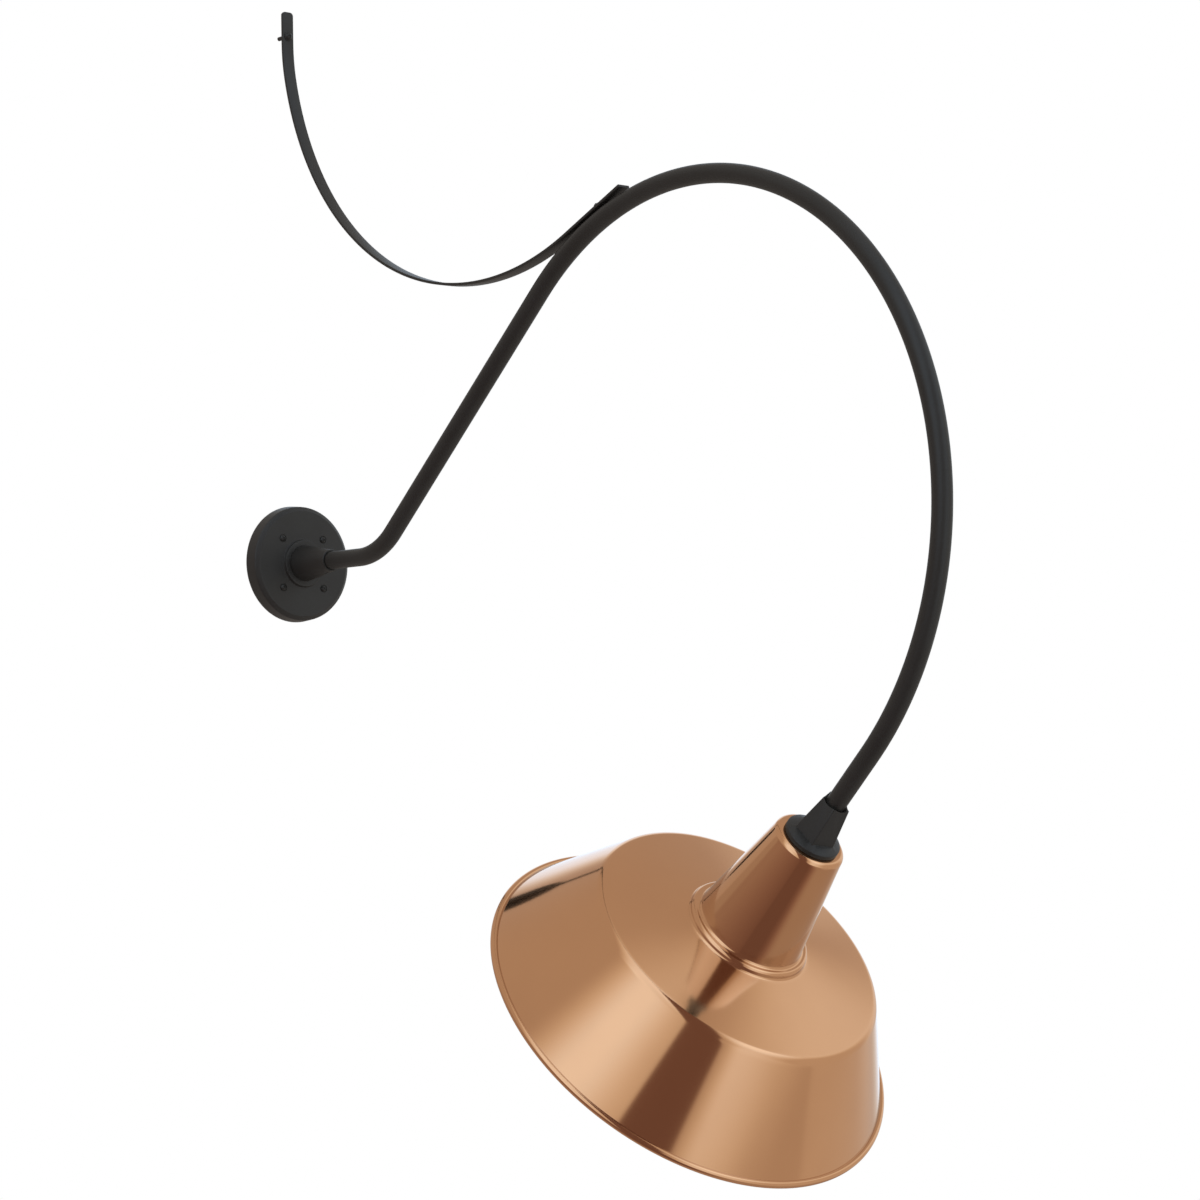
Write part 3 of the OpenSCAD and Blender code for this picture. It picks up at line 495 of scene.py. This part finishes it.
SHADE_SEAT = CROWN_END + SHADE_AXIS * SEAT_ABOVE * MM
bead = arc(COLLAR, COLLAR_BEAD, 272, 345, 12)
roll = arc(RIM, RIM_BEAD, -123, 190, 36)
shade_outline = [HOLE] + rounded(HOLE, NECK_TOP, NECK_FOOT, 6.3, 16)
shade_outline += rounded(NECK_TOP, NECK_FOOT, bead[0], 3.5, 8) + bead
shade_outline += rounded(bead[-1], COLLAR_FOOT, SHOULDER, 3, 8)
shade_outline += rounded(COLLAR_FOOT, SHOULDER, roll[0], 12, 18) + roll
bm = turned(spaced(shade_outline, 3.0), steps=224)
shade = piece(
    "copper_shade", bm, COPPER, "shade", ["shade"],
    laid(SHADE_SEAT, SHADE_HEADING), sharp=60,
)
sheet = shade.modifiers.new("sheet", "SOLIDIFY")
sheet.thickness = SHEET * MM
sheet.offset = -1
sheet.use_even_offset = True

# %% [markdown]
# ## Following a course
# A pipe bender leaves straight stretches joined by true arcs, and a strap is bent over a former in
# the same way. The bmesh operators do what the bender does: a ring of edges is pushed straight
# ahead, or spun round the centre of a bend.


# %% Push and spin a ring of edges
def follow(bm, ring, point, heading, legs):
    """Takes a ring along legs: a number is a straight in millimetres, a tuple is a bend, given as
    its radius, its turn in degrees and its number of steps."""
    for leg in legs:
        if isinstance(leg, tuple):
            radius, degrees, steps = leg
            turn = math.radians(degrees)
            reach = math.copysign(radius * MM, degrees)
            centre = point + leftward(heading) * reach
            made = bmesh.ops.spin(
                bm, geom=ring + list({v for e in ring for v in e.verts}), cent=centre,
                axis=(0, -1, 0), angle=turn, steps=steps,
            )["geom_last"]
            heading += turn
            point = centre - leftward(heading) * reach
        else:
            made = bmesh.ops.extrude_edge_only(bm, edges=ring)["geom"]
            step = ahead(heading) * leg * MM
            verts = [v for v in made if isinstance(v, bmesh.types.BMVert)]
            bmesh.ops.translate(bm, verts=verts, vec=step)
            point = point + step
        ring = [e for e in made if isinstance(e, bmesh.types.BMEdge)]
    return point


# %% [markdown]
# ## The pipe
# One tube, level out of the wall, up in a straight rise, over the crown and down to the shade. A
# short leg on each side of a bend keeps the smooth shading of the straights true.

# %% Bend the pipe
PIPE_R = 10.65
BORE_R = 7.9
PIPE_START = 57.0
PIPE_LEGS = [73, 3, (98, 42, 24), 3, 364, 3, (360, -177.5, 144), 3, 93.5]

bm = bmesh.new()
start = Vector((PIPE_START * MM, 0, 0))
rings = []
for radius in (PIPE_R, BORE_R):
    made = bmesh.ops.create_circle(bm, segments=64, radius=radius * MM, matrix=laid(start, 0.0))
    rings.append(list({e for v in made["verts"] for e in v.link_edges}))
bmesh.ops.bridge_loops(bm, edges=rings[0] + rings[1])
for ring in rings:
    pipe_end = follow(bm, ring, start, 0.0, PIPE_LEGS)
bmesh.ops.bridge_loops(bm, edges=[e for e in bm.edges if e.is_boundary])
bmesh.ops.recalc_face_normals(bm, faces=bm.faces)
piece("bent_pipe", bm, BLACK, "arm", ["gooseneck_pipe"])
print("pipe's end:", [round(v, 4) for v in pipe_end])

# %% [markdown]
# ## The wall plate
# The plate is a casting: a disc with a drafted side, a chamfer, a raised boss for the arm's hub,
# and a hollow back with a post for each screw. The disc is turned, and the posts are joined to it.
# A shallow groove round each screw's head stands for the dark edge of the spot face.

# %% Cast the wall plate
PLATE_R = 70.5
SIDE = (69, 16)
FACE = (64, 19.2)
BOSS_FOOT, BOSS_TOP, BOSS_Z = (29, 19.2), (28, 23), 23
SPIGOT_HOLE = 16.05
CAVITY = 14.7
GROOVE_IN, GROOVE_OUT, GROOVE_DEEP = 63, 68, 1.5
SCREW_RING = 42
POST_R, POST_GAP = 6, 1.5
SCREW_HOLE_R = 2.38
SPOT_IN, SPOT_OUT, SPOT_Z = 3.7, 4.9, 18.5
PAST_FACE = 21
WALL = laid(Vector((0, 0, 0)), 0.0)

plate_outline = [(60.5, 0), (GROOVE_IN, 0), (GROOVE_IN, GROOVE_DEEP), (GROOVE_OUT, GROOVE_DEEP)]
plate_outline += [(GROOVE_OUT, 0)] + rounded((GROOVE_OUT, 0), (PLATE_R, 0), SIDE, 0.5, 3)
plate_outline += rounded((PLATE_R, 0), SIDE, FACE, 2.5) + rounded(SIDE, FACE, BOSS_FOOT, 1.5)
plate_outline += rounded(FACE, BOSS_FOOT, BOSS_TOP, 0.8, 4)
plate_outline += rounded(BOSS_FOOT, BOSS_TOP, (0, BOSS_Z), 0.8)
plate_outline += [(SPIGOT_HOLE, BOSS_Z), (SPIGOT_HOLE, CAVITY), (59.5, CAVITY)]
casting = turned(spaced(plate_outline, 3.0), steps=144, closed=True)
screw_places = [
    Matrix.Rotation(math.radians(45 + 90 * i), 4, "Z") @ Matrix.Translation((SCREW_RING * MM, 0, 0))
    for i in range(4)
]
for place in screw_places:
    casting = combined(casting, moved(rod(POST_R, POST_GAP, CAVITY + 1), place), "UNION")
for place in screw_places:
    casting = combined(casting, moved(rod(SCREW_HOLE_R, -1, PAST_FACE), place), "DIFFERENCE")
    groove = [(SPOT_IN, SPOT_Z), (SPOT_OUT, SPOT_Z), (SPOT_OUT, PAST_FACE), (SPOT_IN, PAST_FACE)]
    groove = turned(groove, 48, closed=True)
    casting = combined(casting, moved(groove, place), "DIFFERENCE")
piece("plate_casting", casting, BLACK, "wall_plate", ["wall_plate"], WALL)
piece(
    "plate_gasket",
    turned(
        [(GROOVE_IN, 0), (GROOVE_OUT, 0), (GROOVE_OUT, GROOVE_DEEP), (GROOVE_IN, GROOVE_DEEP)],
        closed=True,
    ),
    RUBBER, "wall_plate", ["wall_gasket"], WALL,
)

# %% [markdown]
# ## The arm's hub
# A tapered casting that turns in the plate. Its mouth is eased, so a fine dark line shows where
# the pipe enters, and a set screw goes in from below.

# %% Turn the arm's hub
HUB_FOOT, HUB_MOUTH = (22, 23), (13, 77)
SEAT_R = 10.67
hub_outline = [(7.9, 5.7), (16, 5.7), (16, 23)]
hub_outline += rounded((16, 23), HUB_FOOT, HUB_MOUTH, 1, 4)
hub_outline += rounded(HUB_FOOT, HUB_MOUTH, (SEAT_R, 77), 0.9, 5)
hub_outline += rounded(HUB_MOUTH, (SEAT_R, 77), (SEAT_R, 57), 0.7, 4)
hub_outline += [(SEAT_R, 57), (7.9, 57)]
hub = turned(spaced(hub_outline, 4.0), steps=96, closed=True)
down = Matrix.Translation((0, 0, 67 * MM)) @ Matrix.Rotation(math.pi / 2, 4, "Y")
hub = combined(hub, moved(rod(2.52, 8, 30), down), "DIFFERENCE")
piece("arm_hub_casting", hub, BLACK, "arm", ["arm_hub"], WALL)

# %% [markdown]
# ## The strap
# A flat bar, bent twice, that ties the crown of the pipe to the wall. Its section is a plain
# rectangle that follows the course. The two corners of its wall end are cut round, and the whole
# bar gets the small soft edge that rolled steel has under paint.

# %% Bend the strap
STRAP_W, STRAP_T = 16.0, 3.2
STRAP_LEGS = [38, (217, 12, 12), (376, 102, 72), 99.23]
CORNER_R = 4.5
SOFT_EDGE = 0.45

strap_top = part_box("support_strap")[1][2]
bm = bmesh.new()
section = [
    bm.verts.new((x * MM, y * MM, strap_top))
    for x, y in (
        (0, -STRAP_W / 2), (STRAP_T, -STRAP_W / 2), (STRAP_T, STRAP_W / 2), (0, STRAP_W / 2),
    )
]
ring = [bm.edges.new((a, b)) for a, b in zip(section, section[1:] + section[:1])]
strap_end = follow(bm, ring, Vector((STRAP_T / 2 * MM, 0, strap_top)), -math.pi / 2, STRAP_LEGS)
bmesh.ops.holes_fill(bm, edges=[e for e in bm.edges if e.is_boundary], sides=4)
bmesh.ops.recalc_face_normals(bm, faces=bm.faces)
corners = [
    e for e in bm.edges
    if all(abs(v.co.z - strap_top) < 1e-6 for v in e.verts)
    and abs(e.verts[0].co.y - e.verts[1].co.y) < 1e-6
]
bmesh.ops.bevel(
    bm, geom=corners, offset=CORNER_R * MM, offset_type="OFFSET", segments=8, profile=0.5,
    affect="EDGES", material=-1,
)
edges = [e for e in bm.edges if e.calc_face_angle(0) > math.radians(40)]
bmesh.ops.bevel(
    bm, geom=edges, offset=SOFT_EDGE * MM, offset_type="OFFSET", segments=3, profile=0.5,
    affect="EDGES", material=-1,
)
piece("bent_strap", bm, BLACK, "strap", ["support_strap"])
print("strap's end:", [round(v, 4) for v in strap_end])

# %% [markdown]
# ## The shade's hub
# A casting with five flats that widen towards a round flange. A countersink round the pipe cuts
# the tops of the flats, so the five corners stand up as horns. The body is a five-step spin, and
# the flange and the bore are ordinary turned shapes that are joined to it and cut from it.

# %% Shape the shade's hub
SIDES = 5
FIRST_CORNER = math.radians(226.1)
HUB_TOP_R, HUB_FOOT_R, HUB_H = 15.8, 23.1, 43.5
FLANGE_IN, FLANGE_TOP, FLANGE_FOOT = (21, 43.5), (30.3, 47.5), (30.3, 52.4)
SPIGOT_END = 63.2
HUB_PLACE = laid(CROWN_END + SHADE_AXIS * 65 * MM, SHADE_HEADING)

slope = (HUB_FOOT_R - HUB_TOP_R) / HUB_H
foot_z = 48.5
body = turned([(0, 0), (HUB_TOP_R, 0), (HUB_TOP_R + slope * foot_z, foot_z), (0, foot_z)], SIDES)
upright_edges = [
    e for e in body.edges
    if abs(e.verts[0].co.z - e.verts[1].co.z) > 10 * MM
    and all(v.co.xy.length > 10 * MM for v in e.verts)
]
bmesh.ops.bevel(
    body, geom=upright_edges, offset=1.0 * MM, offset_type="OFFSET", segments=4, profile=0.5,
    affect="EDGES", material=-1,
)
moved(body, Matrix.Rotation(FIRST_CORNER, 4, "Z"))
flange_outline = [(0, 43.5), FLANGE_IN] + rounded(FLANGE_IN, FLANGE_TOP, FLANGE_FOOT, 1, 5)
flange_outline += rounded(FLANGE_TOP, FLANGE_FOOT, (13, 52.4), 0.6, 3)
flange_outline += [(13, 52.4), (13, SPIGOT_END), (0, SPIGOT_END)]
hub = combined(turned(flange_outline, 96), body, "UNION")
bore = [(0, -1), (15.9, -1), (10.7, 4.2), (10.7, 32), (7, 32), (7, 70), (0, 70)]
hub = combined(hub, turned(bore, 64), "DIFFERENCE")
sideways = Matrix.Translation((0, 0, 20 * MM)) @ Matrix.Rotation(
    FIRST_CORNER + math.radians(2.5 * 360 / SIDES), 4, "Z"
) @ Matrix.Rotation(math.pi / 2, 4, "Y")
hub = combined(hub, moved(rod(2.02, 8, 30), sideways), "DIFFERENCE")
piece("shade_hub_casting", softened(hub, 0.3), BLACK, "shade", ["shade_hub"], HUB_PLACE)

# %% [markdown]
# ## The lamp holder and the bulb
# From below one looks up at a steel cup, a white porcelain holder with a brass thread, and a
# frosted bulb. All of them are round, so each is one outline. The bulb's base is rolled into a
# thread, whose ridges show when the bulb is unscrewed.

# %% Turn the holder and the bulb
SEAT_PLACE = laid(SHADE_SEAT, SHADE_HEADING)


def ridges(radius, depth, start, end, pitch, steps=8):
    """A rolled thread's outline: round ridges and grooves at a steady pitch."""
    count = round((end - start) / pitch) * steps
    return [
        (
            radius - depth / 2 - depth / 2 * math.cos(2 * math.pi * i / steps),
            start + (end - start) * i / count,
        )
        for i in range(count + 1)
    ]


GLOBE_R, GLOBE_Z, CONE = 33.5, 140.5, math.radians(25)
GLASS_NECK = (12.4, 58)
globe_start = (GLOBE_R * math.cos(CONE), GLOBE_Z - GLOBE_R * math.sin(CONE))
waist = (GLASS_NECK[0], globe_start[1] - (globe_start[0] - GLASS_NECK[0]) / math.tan(CONE))
glass_outline = [GLASS_NECK] + rounded(GLASS_NECK, waist, globe_start, 20, 8)
glass_outline += arc((0, GLOBE_Z), GLOBE_R, -25, 90, 32)

HOLDER_HOLE = 13.1
GASKET_R, GASKET_FROM, CUP_FROM = 24, 1, 3
CUP_R, CUP_IN_R, CUP_FLOOR, CUP_MOUTH = 27, 25.8, 4.2, 33.8
gasket_outline = [(HOLDER_HOLE, GASKET_FROM), (GASKET_R, GASKET_FROM)]
gasket_outline += [(GASKET_R, CUP_FROM), (HOLDER_HOLE, CUP_FROM)]
cup_outline = [(HOLDER_HOLE, CUP_FROM)]
cup_outline += rounded((HOLDER_HOLE, CUP_FROM), (CUP_R, CUP_FROM), (CUP_R, CUP_MOUTH), 2, 5)
cup_outline += [(CUP_R, CUP_MOUTH), (CUP_IN_R, CUP_MOUTH)]
cup_outline += rounded((CUP_IN_R, CUP_MOUTH), (CUP_IN_R, CUP_FLOOR), (HOLDER_HOLE, CUP_FLOOR), 1, 3)
cup_outline += [(HOLDER_HOLE, CUP_FLOOR)]

FOOT_R, FOOT_FROM = 25.7, 18.8
BARREL_R, BARREL_FROM, BARREL_END = 21.5, 34.8, 67.8
WELL_R, WELL_FLOOR = 14.02, 37.8
porcelain_outline = [(0, FOOT_FROM)]
porcelain_outline += rounded((0, FOOT_FROM), (FOOT_R, FOOT_FROM), (FOOT_R, CUP_MOUTH), 1.5)
porcelain_outline += [(FOOT_R, CUP_MOUTH), (BARREL_R, BARREL_FROM)]
porcelain_outline += rounded(
    (BARREL_R, BARREL_FROM), (BARREL_R, BARREL_END), (WELL_R, BARREL_END), 1.5
)
porcelain_outline += rounded(
    (BARREL_R, BARREL_END), (WELL_R, BARREL_END), (WELL_R, WELL_FLOOR), 0.8, 3
)
porcelain_outline += [(WELL_R, WELL_FLOOR), (0, WELL_FLOOR)]
base_outline = [(0, 44.3), (11.5, 44.3)] + ridges(13.0, 0.5, 46, 63.6, 3.6)
base_outline += [(13, 66), (12.5, 66), (12.3, 46.3), (0, 46.3)]

ROUND_PIECES = [
    ("lamp_gasket", "shade_gasket", gasket_outline, True, RUBBER, "shade", "rubber"),
    ("lamp_cup", "socket_cup", cup_outline, True, ZINC, "shade", "zinc"),
    (
        "lamp_porcelain", "socket_porcelain", porcelain_outline, False, PORCELAIN,
        "shade", "porcelain",
    ),
    ("bulb_cap", "bulb_base", base_outline, False, ZINC, "bulb", "zinc"),
]
for name, node, outline, closed, coat, body, slot in ROUND_PIECES:
    piece(name, turned(outline, 96, closed), coat, body, [node], SEAT_PLACE)
glass = piece(
    "bulb_globe", turned(glass_outline, 96), FROSTED, "bulb", ["bulb_glass"], SEAT_PLACE
)
wall = glass.modifiers.new("wall", "SOLIDIFY")
wall.thickness = 1.0 * MM
wall.offset = -1

# %% [markdown]
# ## The small fasteners
# Screws, nuts and washers are exact in the model already, but its faces are loose triangles. A copy
# of each is merged, its flat triangles are joined to whole faces, and its edges are eased, so
# that it catches the light like turned steel.

# %% Ease the small pieces
SMALL = {
    "plate_screws": ("wall_plate", "black", 0.25),
    "ground_screw": ("wall_plate", "green_screw", 0.3),
    "hub_washer": ("arm", "zinc", 0.2), "hub_locknut": ("arm", "zinc", 0.4),
    "hub_set_screw": ("arm", "zinc", 0.15), "strap_bolt": ("arm", "black", 0.2),
    "strap_bolt_washer": ("arm", "zinc", 0.25), "strap_wall_screw": ("strap", "black", 0.25),
    "strap_wall_washer": ("strap", "zinc", 0.25), "shade_set_screw": ("shade", "zinc", 0.15),
    "shade_locknut": ("shade", "zinc", 0.4), "cup_screws": ("shade", "zinc", 0.15),
}
for name, (body, slot, width) in SMALL.items():
    node = frame["nodes"][name]
    bm = bmesh.new()
    bm.from_mesh(node.data)
    bmesh.ops.remove_doubles(bm, verts=bm.verts, dist=2e-6)
    piece("eased_" + name, softened(bm, width), NODE_FINISHES[name], body, [name])

# %% [markdown]
# ## The floor
# The picture is a studio cut-out on white, so the camera sees a white floor. The floor still
# throws light back up, and it lets mirrored rays through to the studio round it.

# %% Lay the floor
FLOOR_DOWN = 1.6
FLOOR_MIDDLE = 0.7
FLOOR_R = 2.8


def studio_floor():
    bm = bmesh.new()
    bmesh.ops.create_circle(
        bm, cap_ends=True, segments=96, radius=FLOOR_R,
        matrix=Matrix.Translation((FLOOR_MIDDLE, 0, -FLOOR_DOWN)),
    )
    mesh = bpy.data.meshes.new("floor")
    bm.to_mesh(mesh)
    bm.free()
    floor = bpy.data.objects.new("floor", mesh)
    bpy.context.scene.collection.objects.link(floor)
    material = bpy.data.materials.new("pale_floor")
    material.use_nodes = True
    shader = Shader(material.node_tree)
    seen = shader.add("ShaderNodeLightPath", out="Is Camera Ray")
    matt = shader.add("ShaderNodeBsdfDiffuse", None, {"Color": (0.8, 0.8, 0.8, 1)})
    white = shader.add("ShaderNodeEmission", None, {"Color": (1, 1, 1, 1), "Strength": 1.0})
    mirrored = shader.add("ShaderNodeLightPath", out="Is Glossy Ray")
    clear = shader.add("ShaderNodeBsdfTransparent")
    shown = shader.add("ShaderNodeMixShader", None, {0: seen, 1: matt, 2: white})
    surface = shader.add("ShaderNodeMixShader", None, {0: mirrored, 1: shown, 2: clear})
    shader.add("ShaderNodeOutputMaterial", None, {"Surface": surface})
    mesh.materials.append(material)
    return floor


studio_floor()
print("floor:", FLOOR_DOWN, "m below the wall plate's middle")

# %% [markdown]
# ## What the copper mirrors
# Polished metal shows only what is round it, so the studio is told in two angles. A black card
# stands beside the camera. The pole is at right angles to the card's plane: across is the angle
# out of that plane, and along is the angle round the pole, from the studio's top forwards and
# down. Each zone of light is a product of ramps in these two angles.


# %% Zones of the studio
CARD_POLE = Vector((0.6762, 0.6060, -0.4189))
CARD_TOP = (Vector((0, 0, 1)) - CARD_POLE * CARD_POLE.z).normalized()
CARD_SIDE = CARD_POLE.cross(CARD_TOP)
CARD_ASIDE = 11.5
CARD_LIGHT = 0.135
BRIGHTEST = 1.15
DARK_TO_BRIGHT = [
    (0.12, (1.28, 0.84, 0.77, 1)), (0.32, (1.09, 0.96, 0.87, 1)),
    (0.6, (0.99, 1.0, 0.97, 1)), (0.95, (0.87, 1.03, 1.22, 1)),
]


def walls(shader, across, along):
    """The plain studio: light walls above, dim ones below and behind, darkest at the card."""
    below = shader.ramp(along, 98, 110) + shader.ramp(along, -98, -110)
    behind = shader.ramp(along, 150, 180) + shader.ramp(along, -98, -110)
    upper = 0.47 + shader.ramp(across, 0, 30) * 0.1
    lower = shader.spread(across, -6, -78, 0.15, 0.30) + shader.ramp(across, 20, 45) * 0.23
    lower = lower + (0.38 - lower) * behind + shader.ramp(across, 50, 65) * 0.1
    return upper + (lower - upper) * below


def left_box(shader, across, along):
    """The big soft box left of the card, which is wider and dimmer the further down it goes."""
    edge = shader.spread(along, 0, 60, -17, -54)
    light = shader.ramp(across, edge - 13, edge + 13) * shader.ramp(across, 0, -4) * 0.7
    light = light * (1 - shader.spread(along, 30, 80, 0, 0.68) * shader.ramp(across, -36, -9))
    return light * shader.ramp(along, -14, 4) * shader.ramp(along, 110, 96)


def right_box(shader, across, along):
    """The soft box right of the card, with a peak that fades outwards."""
    peak = shader.spread(along, 0, 60, 14, 31)
    fade = shader.ramp(across, shader.spread(along, 0, 90, 36, 76), peak)
    light = shader.ramp(across, peak - 14, peak - 2) * fade
    light = light * (0.42 + shader.ramp(along, 50, 12) * 0.36)
    light = light * (0.45 + shader.ramp(along, -8, 3) * 0.55)
    return light * shader.ramp(along, 112, 94) * shader.ramp(along, -100, -60)


def back_box(shader, across, along):
    """A bright patch, high up at the back of the studio."""
    light = shader.ramp(along, -44, -60) * shader.ramp(along, -104, -92)
    return light * shader.ramp(across, -50, -35) * shader.ramp(across, 14, -8) * 0.65


def black_card(shader, across, along):
    """1 on the card, which starts as a point at the top and widens downwards."""
    start = shader.spread(along, 0, 15, -3, -9)
    end = shader.spread(along, 0, 20, 3, 8) + shader.spread(along, 20, 55, 0, 7)
    end = end + shader.ramp(along, 90, 105) * 5
    card = shader.ramp(across, start - 0.7, start + 0.7) * shader.ramp(across, end + 0.8, end - 0.8)
    return card * shader.ramp(along, -3, 1) * shader.ramp(along, 156, 144)


print("the card's plane:", [round(v, 3) for v in CARD_TOP], [round(v, 3) for v in CARD_SIDE])

# %% [markdown]
# ## The world
# The zones add up to the light, the card covers them, and the tint runs from warm in the dark to
# cool in the bright boxes. The camera, and a ray that has come through glass, see plain white.


# %% Light the studio
def studio_world():
    world = bpy.data.worlds.new("studio")
    bpy.context.scene.world = world
    world.use_nodes = True
    shader = Shader(world.node_tree)
    ray = shader.add("ShaderNodeTexCoord", out="Generated")
    degrees = 180 / math.pi
    lift = shader.dot(ray, CARD_POLE)
    across = lift.math("ARCSINE", lift, 0) * degrees - CARD_ASIDE
    along = shader.dot(ray, CARD_SIDE)
    along = along.math("ARCTAN2", along, shader.dot(ray, CARD_TOP)) * degrees
    light = walls(shader, across, along)
    for box in (left_box, right_box, back_box):
        light = light + box(shader, across, along)
    card = black_card(shader, across, along)
    light = light * (1 - card) + card * CARD_LIGHT
    tint = shader.add(
        "ShaderNodeValToRGB", {"stops": DARK_TO_BRIGHT}, {"Fac": light / BRIGHTEST}
    )
    soft = shader.add("ShaderNodeBackground", None, {"Color": tint, "Strength": light})
    plain = shader.add("ShaderNodeBackground", None, {"Color": (1, 1, 1, 1), "Strength": 1.0})
    seen = shader.add("ShaderNodeLightPath", out="Is Camera Ray")
    seen = seen.math("MAXIMUM", seen, shader.add("ShaderNodeLightPath", out="Is Transmission Ray"))
    surface = shader.add("ShaderNodeMixShader", None, {0: seen, 1: soft, 2: plain})
    shader.add("ShaderNodeOutputWorld", None, {"Surface": surface})


studio_world()
bpy.context.scene.view_settings.view_transform = "Standard"
